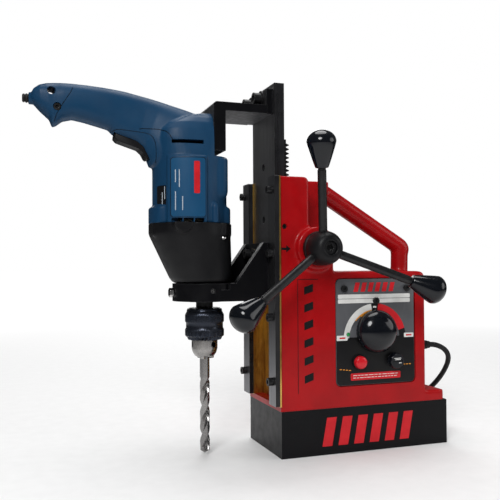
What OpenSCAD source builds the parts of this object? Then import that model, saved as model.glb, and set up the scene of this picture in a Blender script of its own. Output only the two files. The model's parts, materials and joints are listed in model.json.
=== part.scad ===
// Portable magnetic drill press: magnet base, cast stand, rack-fed slide and a clamped electric drill.
// Millimetres. Origin: centre of the magnet's bottom face. +X to the control side, +Y to the rear, +Z up.

/* [Magnet base] */
// Length of the magnet
base_l = 200; // [180:1:240]
// Width of the magnet
base_w = 97; // [90:1:120]
// Height of the magnet
base_h = 48.5; // [44:0.5:60]

/* [Stand casting] */
// Height of the top of the column
column_top = 293.5; // [270:0.5:330]
// Depth of the full-width part of the column
column_d = 33.5; // [30:0.5:40]
// Top of the control box
box_top = 193; // [190:1:196]
// How far the control box stops short of the magnet's right-hand end
box_setback = 26; // [20:1:30]
// Wall of the control box
box_wall = 6; // [4:0.5:8]
// Thickness of the casting's foot
foot_t = 11; // [9:0.5:14]
// Diameter of the carrying handle
grip_d = 20; // [16:0.5:22]

/* [Slide and keepers] */
// Width of the slide plate
slide_w = 69; // [60:1:74]
// Thickness of the slide plate
slide_t = 11; // [10:0.5:12]
// Length of the slide plate
slide_l = 237; // [220:1:260]
// Height of the slide's lower end at rest
slide_z = 157; // [156:1:162]
// Working clearance of the slide, each side
slide_gap = 0.1; // [0.05:0.01:0.2]
// Thickness of the brass liners
liner_t = 1.5; // [1:0.1:2]
// Thickness of the brass strips under the keepers
strip_t = 1.6; // [1:0.1:2]
// Thickness of the keeper bars
keeper_t = 5; // [4:0.5:7]
// How far the keepers overlap the slide's edges
keeper_lap = 3.5; // [3:0.5:4]

/* [Feed] */
// Height of the pinion's axis
feed_z = 217.5; // [215:0.5:221]
// Module of the rack and pinion
feed_module = 1.5; // [1.25:0.25:1.5]
// Teeth on the feed pinion
feed_teeth = 20; // [18:1:21]
// Diameter of the feed shaft
feed_shaft_d = 20; // [16:1:22]
// Diameter of the feed hub at its back
hub_d = 36; // [32:1:40]
// Diameter of the spokes
spoke_d = 9; // [8:0.5:11]
// Forward lean of the spokes in degrees
spoke_lean = 13; // [10:1:16]
// Largest diameter of the spoke knobs
spoke_knob_d = 30; // [24:1:32]

/* [Drill] */
// Distance from the column's face to the spindle's axis
spindle_reach = 68; // [66:0.5:74]
// Diameter of the motor housing
barrel_d = 78.6; // [74:0.2:80]
// Wall of the motor housing
shell_t = 3.3; // [2.5:0.1:4]
// Diameter of the drill's clamping neck
neck_d = 43; // [40:0.5:46]
// Diameter of the spindle
spindle_d = 12; // [10:0.5:13]
// Diameter of the chuck's sleeve
sleeve_d = 41.6; // [40:0.2:44]
// Diameter of the drill bit
bit_d = 10.5; // [6:0.5:10.5]

/* [Control panel] */
// Width of the panel
panel_w = 96; // [90:1:100]
// Height of the panel
panel_h = 114; // [108:1:116]
// Diameter of the rotary switch knob
knob_d = 47; // [40:1:50]
// Height of the rotary switch knob
knob_h = 19; // [14:1:24]
// Diameter of the push button
button_d = 13.8; // [12:0.2:14]

/* [Mains lead] */
// Diameter of the mains lead
cord_d = 6; // [5:0.5:7]

/* [Hidden] */
$fn = 64;
eps = 0.01;
fit = 0.05;          // radial clearance of turning and sliding fits
slip = 0.1;          // radial clearance of screws in their holes
base_x = base_l / 2;
cast_y = base_w / 2 - 0.5;
col_x0 = -base_x - 0.5;
col_x1 = col_x0 + column_d;
box_right = base_x - box_setback;

slide_y = slide_w / 2;
slide_x0 = col_x0 + slide_gap;
slide_x1 = slide_x0 + slide_t;
slide_top = slide_z + slide_l;
back_x0 = slide_x1 + slide_gap;
back_x1 = back_x0 + liner_t;
channel_y = slide_y + slide_gap + liner_t;
channel_z = base_h + 5.5;
strip_x0 = col_x0 - strip_t;
keeper_x0 = strip_x0 - keeper_t;
keeper_y0 = slide_y - keeper_lap;
keeper_y1 = cast_y + 2.5;
keeper_z = [channel_z + 25.5, channel_z + 92, channel_z + 158.5, channel_z + 225];
keeper_screw_y = (channel_y + keeper_y1) / 2 - 1;
pad_y = keeper_y0 - 0.5;

pitch = PI * feed_module;
pinion_r = feed_module * feed_teeth / 2;
rack_pitch_x = slide_x1 + 14.4;
rack_root_x = rack_pitch_x - 1.25 * feed_module;
rack_tip_x = rack_pitch_x + feed_module;
feed_x = rack_pitch_x + pinion_r;
rack_y = 9;
rack_z0 = slide_z + 3;
rack_z1 = rack_z0 + 38 * pitch;
rack_screw_z = [slide_z + 35.4, slide_z + 93.2, slide_z + 151];
pinion_y = 10;
bush_r = pinion_r + feed_module + 0.5;
boss_r = bush_r + 6;
boss_y = cast_y + 6.5;
shaft_r = feed_shaft_d / 2;
hub_r = hub_d / 2;
hub_y0 = boss_y + 0.3;
hub_y1 = hub_y0 + 31;
spoke_y = hub_y0 + 12;
spoke_set = [[97, 121], [215, 133], [339, 137]];   // each spoke's angle and its reach to the knob's end
knob_l = 38;

drill_module = 0.8;
drill_pinion_teeth = 8;
drill_gear_teeth = 32;
sx = col_x0 - spindle_reach;
mx = sx - drill_module * (drill_pinion_teeth + drill_gear_teeth) / 2;
neck_r = neck_d / 2;
collar_z0 = slide_z + 6;
collar_z1 = collar_z0 + 18.5;
collar_r = 34;
gear_z0 = collar_z1 + 0.5;
gear_z1 = gear_z0 + 62;
barrel_r = barrel_d / 2;
plate_z0 = gear_z1 + 74;
upper_z0 = gear_z1 + 69;
upper_y = 35;
leg_x1 = sx + 14.5;
leg_x0 = leg_x1 - 13;
bar_z0 = slide_top - 33;
bar_z1 = bar_z0 + 9;
spindle_r = spindle_d / 2;
chuck_top = collar_z0 - 7.5;
stub = 0.5;
gear_low = gear_z0 + 18;
gear_high = gear_low + 11;
gcover_z0 = gear_z0 + 50;
gcover_z1 = gcover_z0 + 8;
bit_r = bit_d / 2;
bit_tip = 1.7;
nose_z = 103.5;
jaw_tilt = 11;
jaw_r = 2.6;
jaw_axis = bit_r + 2.3;
sleeve_r = sleeve_d / 2;
core_r = 14.6;
shank_top = nose_z + 22;

panel_x = box_right - panel_w / 2 - 14.5;
panel_z = box_top - 65;
panel_face = cast_y - 0.8;
panel_back = panel_face - 2;
knob_x = panel_x - 1;
button_x = panel_x - 20.5;
button_z = panel_z - 32.7;
fuse_x = panel_x + 22.5;
fuse_z = button_z;
lamp_x = panel_x - 33.5;
lamp_z = panel_z - 2.6;
panel_screws_at = [[panel_x - 38.5, panel_z + 46.5], [panel_x + 38.5, panel_z + 46.5],
                   [panel_x, panel_z + 33]];

gland_y = -20;
gland_z = 107;
boot_end = box_right + 23;
cord_r = cord_d / 2;
coil_r0 = 3.5 * cord_d;
coil_r1 = 7.5 * cord_d;
turn_r = 7 * cord_d;
coil_x = boot_end - 10 - turn_r;
coil_y = gland_y + 132;
// Route of the lead from the end of its strain relief to the coil
cord_route = [for (p = [
    [0, 0, gland_z], [7, 0, gland_z - 0.6], [15, 0.5, gland_z - 3], [23, 2, gland_z - 7.5],
    [30, 6, gland_z - 14.5], [34.5, 13, 83.5], [37, 23, 73], [38, 35, 61.5], [36.5, 48, 49.5],
    [33, 62, 37.5], [27, 75, 26], [19, 87, 16], [10, 98, 8.5], [1, 109, 4.2], [-6, 120, cord_r],
    [-9.6, 126, cord_r], [-10, 132, cord_r]]) [boot_end + p[0], gland_y + p[1], p[2]]];
// Route of the lead from the coil's upper layer to the plug
tail_route = [for (p = [[0, 9], [6.1, 9.6], [12.3, 11], [18.4, 12], [24.5, 12.5]])
    [coil_x, coil_y, p[1]] + [-1, 1, 0] * turn_r * sin(45) - [1, 1, 0] * p[0] * sin(45)];
plug_at = tail_route[4];

// ---- shared shapes ----
module block(x0, x1, y0, y1, z0, z1) {
    translate([x0, y0, z0]) cube([x1 - x0, y1 - y0, z1 - z0]);
}

module along_x(r, x0, x1, y, z) {
    translate([x0, y, z]) rotate([0, 90, 0]) cylinder(r = r, h = x1 - x0);
}

module along_y(r, y0, y1, x, z) {
    translate([x, y1, z]) rotate([90, 0, 0]) cylinder(r = r, h = y1 - y0);
}

module along_z(r, z0, z1, x, y) {
    translate([x, y, z0]) cylinder(r = r, h = z1 - z0);
}

// A flat outline in X and Z, made as thick as y0 to y1
module side_plate(y0, y1) {
    translate([0, y1, 0]) rotate([90, 0, 0]) linear_extrude(y1 - y0) children();
}

module round_rect(x0, x1, y0, y1, r) {
    translate([x0 + r, y0]) square([x1 - x0 - 2 * r, y1 - y0]);
    translate([x0, y0 + r]) square([x1 - x0, y1 - y0 - 2 * r]);
    for (x = [x0 + r, x1 - r], y = [y0 + r, y1 - r]) translate([x, y]) circle(r);
}

module hex(across, h) {
    cylinder(d = across / cos(30), h = h, $fn = 6);
}

// Socket cap screw along +Z: its head above z = 0, its shank below
module cap_screw(head_r, head_h, shank_r, shank_l) {
    difference() {
        cylinder(r = head_r, h = head_h);
        translate([0, 0, head_h * 0.4]) hex(head_r, head_h);
    }
    translate([0, 0, -shank_l]) cylinder(r = shank_r, h = shank_l + eps);
}

function inv_deg(a) = tan(a) * 180 / PI - a;

// Half the angle that a tooth spans at radius r
function tooth_half(m, n, r, play) =
    let (rb = m * n / 2 * cos(20), a = acos(min(1, rb / r)))
    90 / n + inv_deg(20) - inv_deg(a) - play / (m * n) * 180 / PI;

function polar(r, a) = [r * cos(a), r * sin(a)];

// Outline of an involute gear; tooth 0 is centred on the angle start
function gear_outline(m, n, addendum, play, start) =
    let (rf = m * n / 2 - 1.2 * m, ra = m * n / 2 + addendum * m,
         steps = [for (i = [0:5]) rf + (ra - rf) * i / 5])
    [for (t = [0:n - 1]) let (c = start + t * 360 / n)
        for (side = [-1, 1], i = [0:5])
            let (r = side < 0 ? steps[i] : steps[5 - i])
            polar(r, c + side * tooth_half(m, n, r, play))];

// ---- magnet ----
module magnet_core() {
    color("#1b1b1d") difference() {
        block(-base_x, base_x, -base_w / 2, base_w / 2, 0, base_h);
        coil_slot(12, 27, -1, 30);
        for (p = bolt_places()) translate([p[0], p[1], base_h - 15]) cylinder(r = 4, h = 16);
    }
}

function bolt_places() = [[base_x - 14, 0], [-20, base_w / 4], [-20, -base_w / 4]];

// Ring-shaped slot round the magnet's middle pole
module coil_slot(edge, pole, z0, z1) {
    difference() {
        block(-base_x + edge, base_x - edge, -base_w / 2 + edge, base_w / 2 - edge, z0, z1);
        block(-base_x + pole, base_x - pole, -base_w / 2 + pole, base_w / 2 - pole, z0 - 1, z1 + 1);
    }
}

module magnet_coil() {
    color("#b06a2c") coil_slot(12.3, 26.7, 8, 30);
}

module coil_potting() {
    color("#3a2c24") coil_slot(12, 27, 0.3, 8);
}

// ---- stand ----
grip_top = [col_x1 + 38, column_top - grip_d / 2 - 1.5];
grip_bend = [box_right - 4, box_top + 27.5];
web_y = 15;
web_right = col_x1 + 33;

module casting_solid() {
    side_plate(-cast_y, cast_y) {
        translate([col_x0, base_h]) square([column_d, column_top - base_h - 6]);
        translate([col_x0, column_top - 7]) square([column_d - 6, 7]);
        translate([col_x1 - 6, column_top - 6]) circle(6);
        translate([col_x1 - 1, base_h]) square([box_right - col_x1 - 5, box_top - base_h]);
        translate([box_right - 9, base_h]) square([9, box_top - base_h - 8]);
        translate([box_right - 8, box_top - 8]) circle(8);
        translate([box_right - 1, base_h]) square([base_x - 3 - box_right, foot_t]);
        translate([base_x - 5, base_h]) square([3, foot_t - 4]);
        translate([base_x - 6, base_h + foot_t - 4]) circle(4);
    }
    side_plate(-web_y, web_y) polygon([
        [col_x1 - 1, box_top - 1], [col_x1 - 1, column_top], [grip_top[0] + 4, column_top],
        [web_right, grip_top[1] - 12], [web_right, feed_z + 16], [web_right + 6, box_top + 6],
        [web_right + 12, box_top - 1]]);
    along_y(boss_r, -boss_y, cast_y, feed_x, feed_z);
    side_plate(-cast_y, cast_y) polygon([
        [col_x1 - 1, box_top - 1], [col_x1 - 1, feed_z + 20], [feed_x, feed_z + boss_r - 1],
        [feed_x + boss_r - 1, feed_z], [feed_x + boss_r - 2, box_top - 1]]);
    grip_bar();
}

// Round carrying handle: a sloping bar, a bend and a short post
module grip_bar() {
    dx = grip_bend[0] - grip_top[0];
    dz = grip_top[1] - grip_bend[1];
    long = sqrt(dx * dx + dz * dz);
    along_x(grip_d / 2, grip_top[0] - 10, grip_top[0], 0, grip_top[1]);
    translate([grip_top[0], 0, grip_top[1]]) rotate([0, 90 + atan(dz / dx), 0])
        cylinder(d = grip_d, h = long);
    for (p = [grip_top, grip_bend]) translate([p[0], 0, p[1]]) sphere(d = grip_d + 1);
    along_z(grip_d / 2, box_top - 3, grip_bend[1], grip_bend[0], 0);
}

module stand_casting() {
    color("#b5121b") difference() {
        casting_solid();
        // slide channel, rack groove and pinion bore
        block(col_x0 - 1, back_x1, -channel_y, channel_y, channel_z, column_top + 1);
        block(back_x1 - 1, rack_tip_x + 0.5, -rack_y - 2, rack_y + 2, channel_z, column_top + 1);
        along_y(bush_r, -boss_y - 1, cast_y + 1, feed_x, feed_z);
        // control box, open at the back, and the window behind the panel
        block(col_x1 + box_wall, box_right - box_wall, -panel_back + 4, cast_y + 1,
              base_h + box_wall, box_top - box_wall);
        block(panel_x - panel_w / 2 + 7, panel_x + panel_w / 2 - 7, -cast_y - 1, -panel_back + 5,
              panel_z - panel_h / 2 + 7, panel_z + panel_h / 2 - 7);
        side_plate(-cast_y - 1, -panel_back)
            round_rect(panel_x - panel_w / 2 - 0.5, panel_x + panel_w / 2 + 0.5,
                       panel_z - panel_h / 2 - 0.5, panel_z + panel_h / 2 + 0.5, 6.5);
        side_plate(cast_y - 3, cast_y + 1)
            round_rect(col_x1 + box_wall - 4, box_right - box_wall + 4,
                       base_h + box_wall - 4, box_top - box_wall + 4, 3);
        // holes for screws, bolts and the mains lead
        for (z = keeper_z, s = [-1, 1])
            along_x(2.5 + slip, col_x0 - 1, col_x0 + 14, s * keeper_screw_y, z);
        along_y(2.5 + slip, -cast_y - 1, -channel_y + 1, (slide_x0 + slide_x1) / 2, feed_z + 23);
        for (p = bolt_places()) along_z(4 + slip, base_h - 1, base_h + foot_t + 1, p[0], p[1]);
        for (p = rear_screw_places()) along_y(1.7, cast_y - 14, cast_y + 1, p[0], p[1]);
        along_x(5 + slip, box_right - box_wall - 1, box_right + 1, gland_y, gland_z);
    }
}

function rear_screw_places() =
    [for (x = [col_x1 + 4, box_right - 4], z = [base_h + 12, box_top - 14]) [x, z]];

module rear_cover() {
    color("#b5121b") difference() {
        side_plate(cast_y - 2.9, cast_y)
            round_rect(col_x1 + box_wall - 3.8, box_right - box_wall + 3.8,
                       base_h + box_wall - 3.8, box_top - box_wall + 3.8, 3);
        for (p = rear_screw_places()) along_y(1.7, cast_y - 4, cast_y + 1, p[0], p[1]);
    }
}

module rear_cover_screws() {
    color("#222222") for (p = rear_screw_places())
        translate([p[0], cast_y, p[1]]) rotate([-90, 0, 0]) cap_screw(3, 2, 1.6, 11);
}

module keeper(side) {
    y0 = side < 0 ? -keeper_y1 : keeper_y0;
    color("#4a4a4e") difference() {
        translate([strip_x0, 0, 0]) rotate([0, -90, 0]) linear_extrude(keeper_t)
            round_rect(channel_z + 0.3, column_top, y0, y0 + keeper_y1 - keeper_y0, 1.5);
        for (z = keeper_z) along_x(2.5 + slip, keeper_x0 - 1, strip_x0 + 1, side * keeper_screw_y, z);
    }
}

module gib_strips() {
    color("#c79a3a") for (s = [-1, 1]) difference() {
        y0 = s < 0 ? -keeper_y1 : keeper_y0;
        block(strip_x0, col_x0, y0, y0 + keeper_y1 - keeper_y0, channel_z, column_top);
        for (z = keeper_z) along_x(2.5 + slip, strip_x0 - 1, col_x0 + 1, s * keeper_screw_y, z);
    }
}

module channel_liners() {
    color("#c79a3a") for (s = [-1, 1]) {
        y0 = s < 0 ? -channel_y : channel_y - liner_t;
        block(col_x0, back_x1, y0, y0 + liner_t, channel_z, column_top);
        yb = s < 0 ? -channel_y + liner_t + 0.1 : rack_y + 2;
        block(back_x0, back_x1, yb, yb + channel_y - liner_t - 0.1 - rack_y - 2, channel_z, column_top);
    }
}

module keeper_screws() {
    color("#1d1d1f") for (z = keeper_z, s = [-1, 1])
        translate([keeper_x0, s * keeper_screw_y, z]) rotate([0, -90, 0]) cap_screw(4.2, 6, 2.5, 18);
}

module gib_lock_screw() {
    color("#2a2a2c") difference() {
        along_y(2.5, -cast_y + 1.5, -channel_y, (slide_x0 + slide_x1) / 2, feed_z + 23);
        translate([(slide_x0 + slide_x1) / 2, -cast_y + 4, feed_z + 23]) rotate([90, 0, 0]) hex(2.5, 5);
    }
}

module pinion_bushes() {
    color("#b0843a") {
        bush(-boss_y, -pinion_y - 0.4);
        bush(pinion_y + 0.4, cast_y);
    }
}

module bush(y0, y1) {
    difference() {
        along_y(bush_r, y0, y1, feed_x, feed_z);
        along_y(shaft_r + fit, y0 - 1, y1 + 1, feed_x, feed_z);
    }
}

module base_bolts() {
    color("#1d1d1f") {
        place = bolt_places();
        translate([place[0][0], place[0][1], base_h + foot_t]) {
            difference() {
                cylinder(r = 9, h = 1.6);
                translate([0, 0, -1]) cylinder(r = 4.3, h = 4);
            }
            translate([0, 0, 1.6]) cap_screw(6.5, 8, 4, foot_t + 14);
        }
        for (i = [1, 2]) translate([place[i][0], place[i][1], base_h + box_wall])
            cap_screw(6.5, 8, 4, box_wall + 13);
    }
}

// ---- control box fittings ----
module control_panel() {
    color("#5a5c60") difference() {
        side_plate(-panel_face, -panel_back)
            round_rect(panel_x - panel_w / 2, panel_x + panel_w / 2,
                       panel_z - panel_h / 2, panel_z + panel_h / 2, 6);
        along_y(4, -panel_face - 1, -panel_back + 1, knob_x, panel_z);
        along_y(8, -panel_face - 1, -panel_back + 1, button_x, button_z);
        along_y(6.6, -panel_face - 1, -panel_back + 1, fuse_x, fuse_z);
        along_y(2.1, -panel_face - 1, -panel_back + 1, lamp_x, lamp_z);
        for (p = panel_screws_at) along_y(1.7, -panel_face - 1, -panel_back + 1, p[0], p[1]);
    }
}

module panel_screws() {
    color("#18181a") for (p = panel_screws_at)
        translate([p[0], -panel_face, p[1]]) rotate([90, 0, 0]) cap_screw(3.6, 2.6, 1.6, 8);
}

module power_switch() {
    color("#d8d2c0") difference() {
        union() {
            block(knob_x - 20, knob_x + 20, -panel_back + 2, -panel_back + 32, panel_z - 20, panel_z + 20);
            along_y(7, -panel_back, -panel_back + 3, knob_x, panel_z);
        }
        along_y(3 + fit, -panel_face - 1, -panel_back + 22, knob_x, panel_z);
    }
}

module push_switch() {
    color("#202022") difference() {
        union() {
            along_y(8.6, -panel_face - 1.6, -panel_face, button_x, button_z);
            along_y(7.9, -panel_face - 0.5, -panel_back + 18, button_x, button_z);
        }
        along_y(button_d / 2 + 0.08, -panel_face - 3, -panel_face + 9, button_x, button_z);
    }
}

module indicator_lamp() {
    color("#1f9a3f") {
        along_y(2, -panel_face - 1, -panel_back + 1, lamp_x, lamp_z);
        along_y(3, -panel_back, -panel_back + 5, lamp_x, lamp_z);
    }
}

module fuse_holder() {
    color("#161618") {
        difference() {
            along_y(8.8, -panel_face - 8, -panel_face, fuse_x, fuse_z);
            block(fuse_x - 6, fuse_x + 6, -panel_face - 9, -panel_face - 6.8, fuse_z - 0.8, fuse_z + 0.8);
        }
        along_y(6.5, -panel_face - 1, -panel_back + 28, fuse_x, fuse_z);
    }
}

module switch_knob() {
    color("#101012") {
        translate([knob_x, -panel_face - 0.4, panel_z]) rotate([90, 0, 0]) rotate_extrude() polygon(concat(
            [[0, 0], [knob_d / 2, 0], [knob_d / 2, 4]],
            [for (a = [10:10:90]) [knob_d / 2 - 9 + 9 * cos(a), knob_h - 9 + 9 * sin(a)]],
            [[0, knob_h]]));
        along_y(3, -panel_face - 1, -panel_back + 20, knob_x, panel_z);
    }
}

module push_button() {
    color("#d01722") {
        along_y(button_d / 2, -panel_face - 6.5, -panel_face + 5.5, button_x, button_z);
        along_y(button_d / 2 - 1, -panel_face - 7.3, -panel_face - 6, button_x, button_z);
    }
}

// ---- mains lead ----
module cord_gland() {
    color("#151517") difference() {
        union() {
            along_x(5, box_right - box_wall, box_right + 1, gland_y, gland_z);
            along_x(8.5, box_right, box_right + 3, gland_y, gland_z);
            translate([box_right + 3, gland_y, gland_z]) rotate([0, 90, 0])
                cylinder(r1 = 7, r2 = 4, h = boot_end - box_right - 3);
        }
        along_x(1.2, box_right - box_wall - 1, box_right + 12, gland_y, gland_z);
    }
}

function unit(v) = v / norm(v);

// A round tube that follows a list of points, with flat ends
module tube(route, r, sides) {
    n = len(route);
    dirs = [for (i = [0:n - 1]) unit(route[min(i + 1, n - 1)] - route[max(i - 1, 0)])];
    rings = [for (i = [0:n - 1])
        let (side = unit(cross(dirs[i], [0.05, 0.1, 1])), up = cross(side, dirs[i]))
        for (k = [0:sides - 1]) route[i] + r * (cos(k * 360 / sides) * side + sin(k * 360 / sides) * up)];
    polyhedron(rings, concat(
        [[for (k = [0:sides - 1]) k]],
        [for (i = [0:n - 2], k = [0:sides - 1])
            let (a = i * sides + k, b = i * sides + (k + 1) % sides)
            [a, a + sides, b + sides, b]],
        [[for (k = [sides - 1:-1:0]) (n - 1) * sides + k]]));
}

module mains_cord() {
    color("#1a1a1c") {
        tube(cord_route, cord_r, 10);
        tube(tail_route, cord_r, 10);
    }
}

module cord_coil() {
    color("#1a1a1c") translate([coil_x, coil_y, 0]) rotate_extrude()
        translate([coil_r0, 0]) square([coil_r1 - coil_r0, 2 * cord_d]);
}

module mains_plug() {
    color("#1a1a1c") translate(plug_at) rotate([0, 0, 225])
        rotate([0, 90, 0]) {
            cylinder(r1 = 4.5, r2 = 7, h = 14);
            translate([-12, -12, 14]) cube([24, 24, 26]);
            for (y = [-6, 6]) translate([0, y, 40 - eps]) cylinder(r = 2, h = 17);
        }
}

// ---- feed ----
module pinion_shaft() {
    color("#8c8c90") translate([feed_x, 0, feed_z]) rotate([90, 0, 0]) {
        translate([0, 0, -cast_y]) cylinder(r = shaft_r, h = cast_y + hub_y0 + 12);
        translate([0, 0, -pinion_y]) linear_extrude(2 * pinion_y)
            polygon(gear_outline(feed_module, feed_teeth, 1, 0.2, 180));
    }
}

module feed_hub() {
    color("#141416") difference() {
        translate([feed_x, -hub_y0, feed_z]) rotate([90, 0, 0]) rotate_extrude() polygon([
            [0, 0], [hub_r - 1, 0], [hub_r, 1], [hub_r, 18], [hub_r - 2, 30], [hub_r - 3.5, 31], [0, 31]]);
        along_y(shaft_r, -hub_y0 - 12, -hub_y0 + 1, feed_x, feed_z);
        along_y(4 + slip, -hub_y0 - 20, -hub_y0 - 11, feed_x, feed_z);
        along_y(7.2, -hub_y1 - 1, -hub_y0 - 20, feed_x, feed_z);
        for (s = spoke_set) spoke_place(s[0]) translate([0, 0, 11]) cylinder(r = spoke_d / 2, h = 20);
    }
}

// Spoke's own frame: its root on the hub's axis, +Z along the spoke
module spoke_place(angle) {
    translate([feed_x, -spoke_y, feed_z]) rotate([0, 90 - angle, 0]) rotate([spoke_lean, 0, 0]) children();
}

module hub_screw() {
    color("#2a2a2c") translate([feed_x, -hub_y0 - 20, feed_z]) rotate([90, 0, 0])
        cap_screw(7, 8, 4, 8);
}

module feed_spokes() {
    color("#1c1c1e") for (s = spoke_set) spoke_place(s[0]) {
        translate([0, 0, 11]) cylinder(r = spoke_d / 2, h = s[1] - 22);
    }
}

module feed_knobs() {
    end_r = spoke_knob_d / 2;
    color("#0e1116") for (s = spoke_set) spoke_place(s[0]) difference() {
        translate([0, 0, s[1] - knob_l]) rotate_extrude() polygon(concat(
            [[0, 0], [6.5, 0], [7.2, 1]],
            [for (t = [0:5:90]) [end_r * cos(t), knob_l - end_r * 0.8 + end_r * 0.8 * sin(t)]]));
        cylinder(r = spoke_d / 2, h = s[1] - 11);
    }
}

// ---- slide ----
module slide_plate() {
    color("#6b6d70") difference() {
        block(slide_x0, slide_x1, -slide_y, slide_y, slide_z, slide_top);
        for (z = rack_screw_z) {
            along_x(2 + slip, slide_x0 - 1, slide_x1 + 1, 0, z);
            along_x(4, slide_x0 - 1, slide_x0 + 5, 0, z);
        }
        for (y = [-16, 16]) along_x(4 + slip, slide_x0 - 1, slide_x1 + 1, y, slide_top - 14);
        for (p = bracket_screw_places()) along_x(3 + slip, slide_x0 - 1, slide_x1 - 1, p[0], p[1]);
    }
}

function bracket_screw_places() = [for (y = [-13, 13], z = [slide_z + 28, slide_z + 56]) [y, z]];

module gear_rack() {
    tip = feed_module * (PI / 4 - tan(20)) - 0.08;
    root = feed_module * (PI / 4 + 1.25 * tan(20)) - 0.08;
    color("#2b2b2d") difference() {
        side_plate(-rack_y, rack_y) union() {
            translate([slide_x1, rack_z0]) square([rack_root_x - slide_x1 + eps, rack_z1 - rack_z0]);
            for (k = [-60:60]) {
                z = feed_z + (k + 0.5) * pitch;
                if (z - root > rack_z0 && z + root < rack_z1)
                    polygon([[rack_root_x, z - root], [rack_tip_x, z - tip],
                             [rack_tip_x, z + tip], [rack_root_x, z + root]]);
            }
        }
        for (z = rack_screw_z) along_x(2 + slip, slide_x1 - 1, slide_x1 + 8, 0, z);
    }
}

module rack_screws() {
    color("#2a2a2c") for (z = rack_screw_z)
        translate([slide_x0 + 5, 0, z]) rotate([0, -90, 0]) cap_screw(3.5, 4, 2, 11);
}

arm_top = collar_z0 + 61;
pad_x0 = col_x0 - 12.5;
wide_x = keeper_x0 - 0.8;
arm_y = 33;
module collar_bracket() {
    color("#161617") difference() {
        union() {
            along_z(collar_r, collar_z0, collar_z1, sx, 0);
            block(sx, wide_x, -arm_y, arm_y, collar_z0, collar_z0 + 12);
            block(pad_x0, wide_x, -arm_y, arm_y, collar_z0, arm_top);
            block(wide_x - eps, slide_x0, -pad_y, pad_y, collar_z0, arm_top);
            for (s = [-1, 1]) side_plate(s < 0 ? -arm_y : arm_y - 9, s < 0 ? -arm_y + 9 : arm_y) polygon([
                [wide_x, collar_z0], [wide_x, arm_top], [pad_x0, arm_top],
                [sx + 25, collar_z1], [sx + 18, collar_z1], [sx + 18, collar_z0]]);
        }
        along_z(neck_r + fit, collar_z0 - 1, arm_top + 1, sx, 0);
        along_z(barrel_r + 6, collar_z1, arm_top + 1, mx + 1, 0);
        for (p = bracket_screw_places()) along_x(3 + slip, pad_x0 - 1, slide_x0 + 1, p[0], p[1]);
        along_x(3 + slip, sx - collar_r - 1, sx - neck_r + 1, 0, collar_z0 + 9);
        along_y(2.5, -collar_r - 1, -neck_r + 1, sx, collar_z0 + 11);
    }
}

module bracket_screws() {
    color("#1d1d1f") for (p = bracket_screw_places())
        translate([pad_x0, p[0], p[1]]) rotate([0, -90, 0]) cap_screw(5, 6, 3, 22);
}

module clamp_screws() {
    color("#6e6e72") {
        along_x(3, sx - collar_r - 0.5, sx - neck_r - 0.1, 0, collar_z0 + 9);
        translate([sx - collar_r, 0, collar_z0 + 9]) rotate([0, -90, 0]) hex(8.8, 4.5);
        along_y(2.4, -collar_r + 1, -neck_r - 0.1, sx, collar_z0 + 11);
    }
}

module top_bracket() {
    flange_x0 = slide_x0 - 8;
    color("#2c2c2e") difference() {
        union() {
            side_plate(-arm_y, arm_y) {
                translate([leg_x0, bar_z0 - 42]) square([leg_x1 - leg_x0, 47]);
                translate([leg_x0 + 4, bar_z0]) square([wide_x - leg_x0 - 4, bar_z1 - bar_z0]);
                translate([leg_x0 + 4, bar_z1 - 4]) circle(4);
            }
            block(wide_x - eps, slide_x0, -pad_y, pad_y, bar_z0, bar_z1);
            block(flange_x0, slide_x0, -pad_y, pad_y, bar_z0, bar_z1 + 18);
        }
        for (y = [-16, 16]) along_x(4 + slip, flange_x0 - 1, slide_x0 + 1, y, slide_top - 14);
        along_x(3 + slip, leg_x0 - 1, leg_x1 + 1, 0, bar_z0 - 22);
    }
}

module top_bracket_bolts() {
    color("#1d1d1f") for (y = [-16, 16]) translate([slide_x0 - 8, y, slide_top - 14]) rotate([0, -90, 0]) {
        difference() {
            cylinder(r = 8.5, h = 1.6);
            translate([0, 0, -1]) cylinder(r = 4.2, h = 4);
        }
        translate([0, 0, 1.6]) cap_screw(6.2, 8, 4, 20);
    }
}

module steady_bolt() {
    color("#1d1d1f") translate([leg_x1, 0, bar_z0 - 22]) rotate([0, 90, 0]) cap_screw(5, 6, 3, 27);
}

// ---- drill ----
// The handle's outlines are drawn for this place of the motor's axis and the housing's foot
drawn_at = [-184.5, 244];
drill_shift = [mx, gear_z1] - drawn_at;
housing_right = leg_x0 - drill_shift[0];
handle_outline = [
    [housing_right, 359], [-176, 360], [-192.5, 365], [-228.7, 374.5], [-254, 379.5], [-279, 382],
    [-308, 383.2], [-334, 381.5], [-341, 378], [-346.8, 368], [-346, 364.5], [-327.6, 346.4],
    [-326.2, 339.5], [-324, 338.5], [-315.4, 345.5], [-309, 347.6], [-303, 348], [-270.2, 339.8],
    [-264, 333.3], [-243, 326.8], [-235, 321], [-229, 309], [-225, 301.5], [-222, 301.5], [-222, 330]];
hollow_outline = [
    [-318, 378.5], [-318, 352.5], [-303, 352], [-268, 344], [-259, 337], [-240, 331], [-228, 329.5],
    [-214, 331], [housing_right - 4, 331], [housing_right - 4, 355], [-193, 361], [-229, 370.5],
    [-279, 378], [-300, 379]];
handle_y = 17;
trigger_tilt = 30.7;
hanging_hole = [-327, 373];
boot_z = 366.5;
trigger_outline = [
    [-264.5, 335], [-265, 330.5], [-262, 327.5], [-240, 320.5], [-235, 316], [-231.6, 309.5],
    [-228.6, 311], [-230, 319], [-236, 328.5], [-240, 331.5], [-241, 337], [-258, 341]];

module at_drill() {
    translate([drill_shift[0], 0, drill_shift[1]]) children();
}

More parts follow.
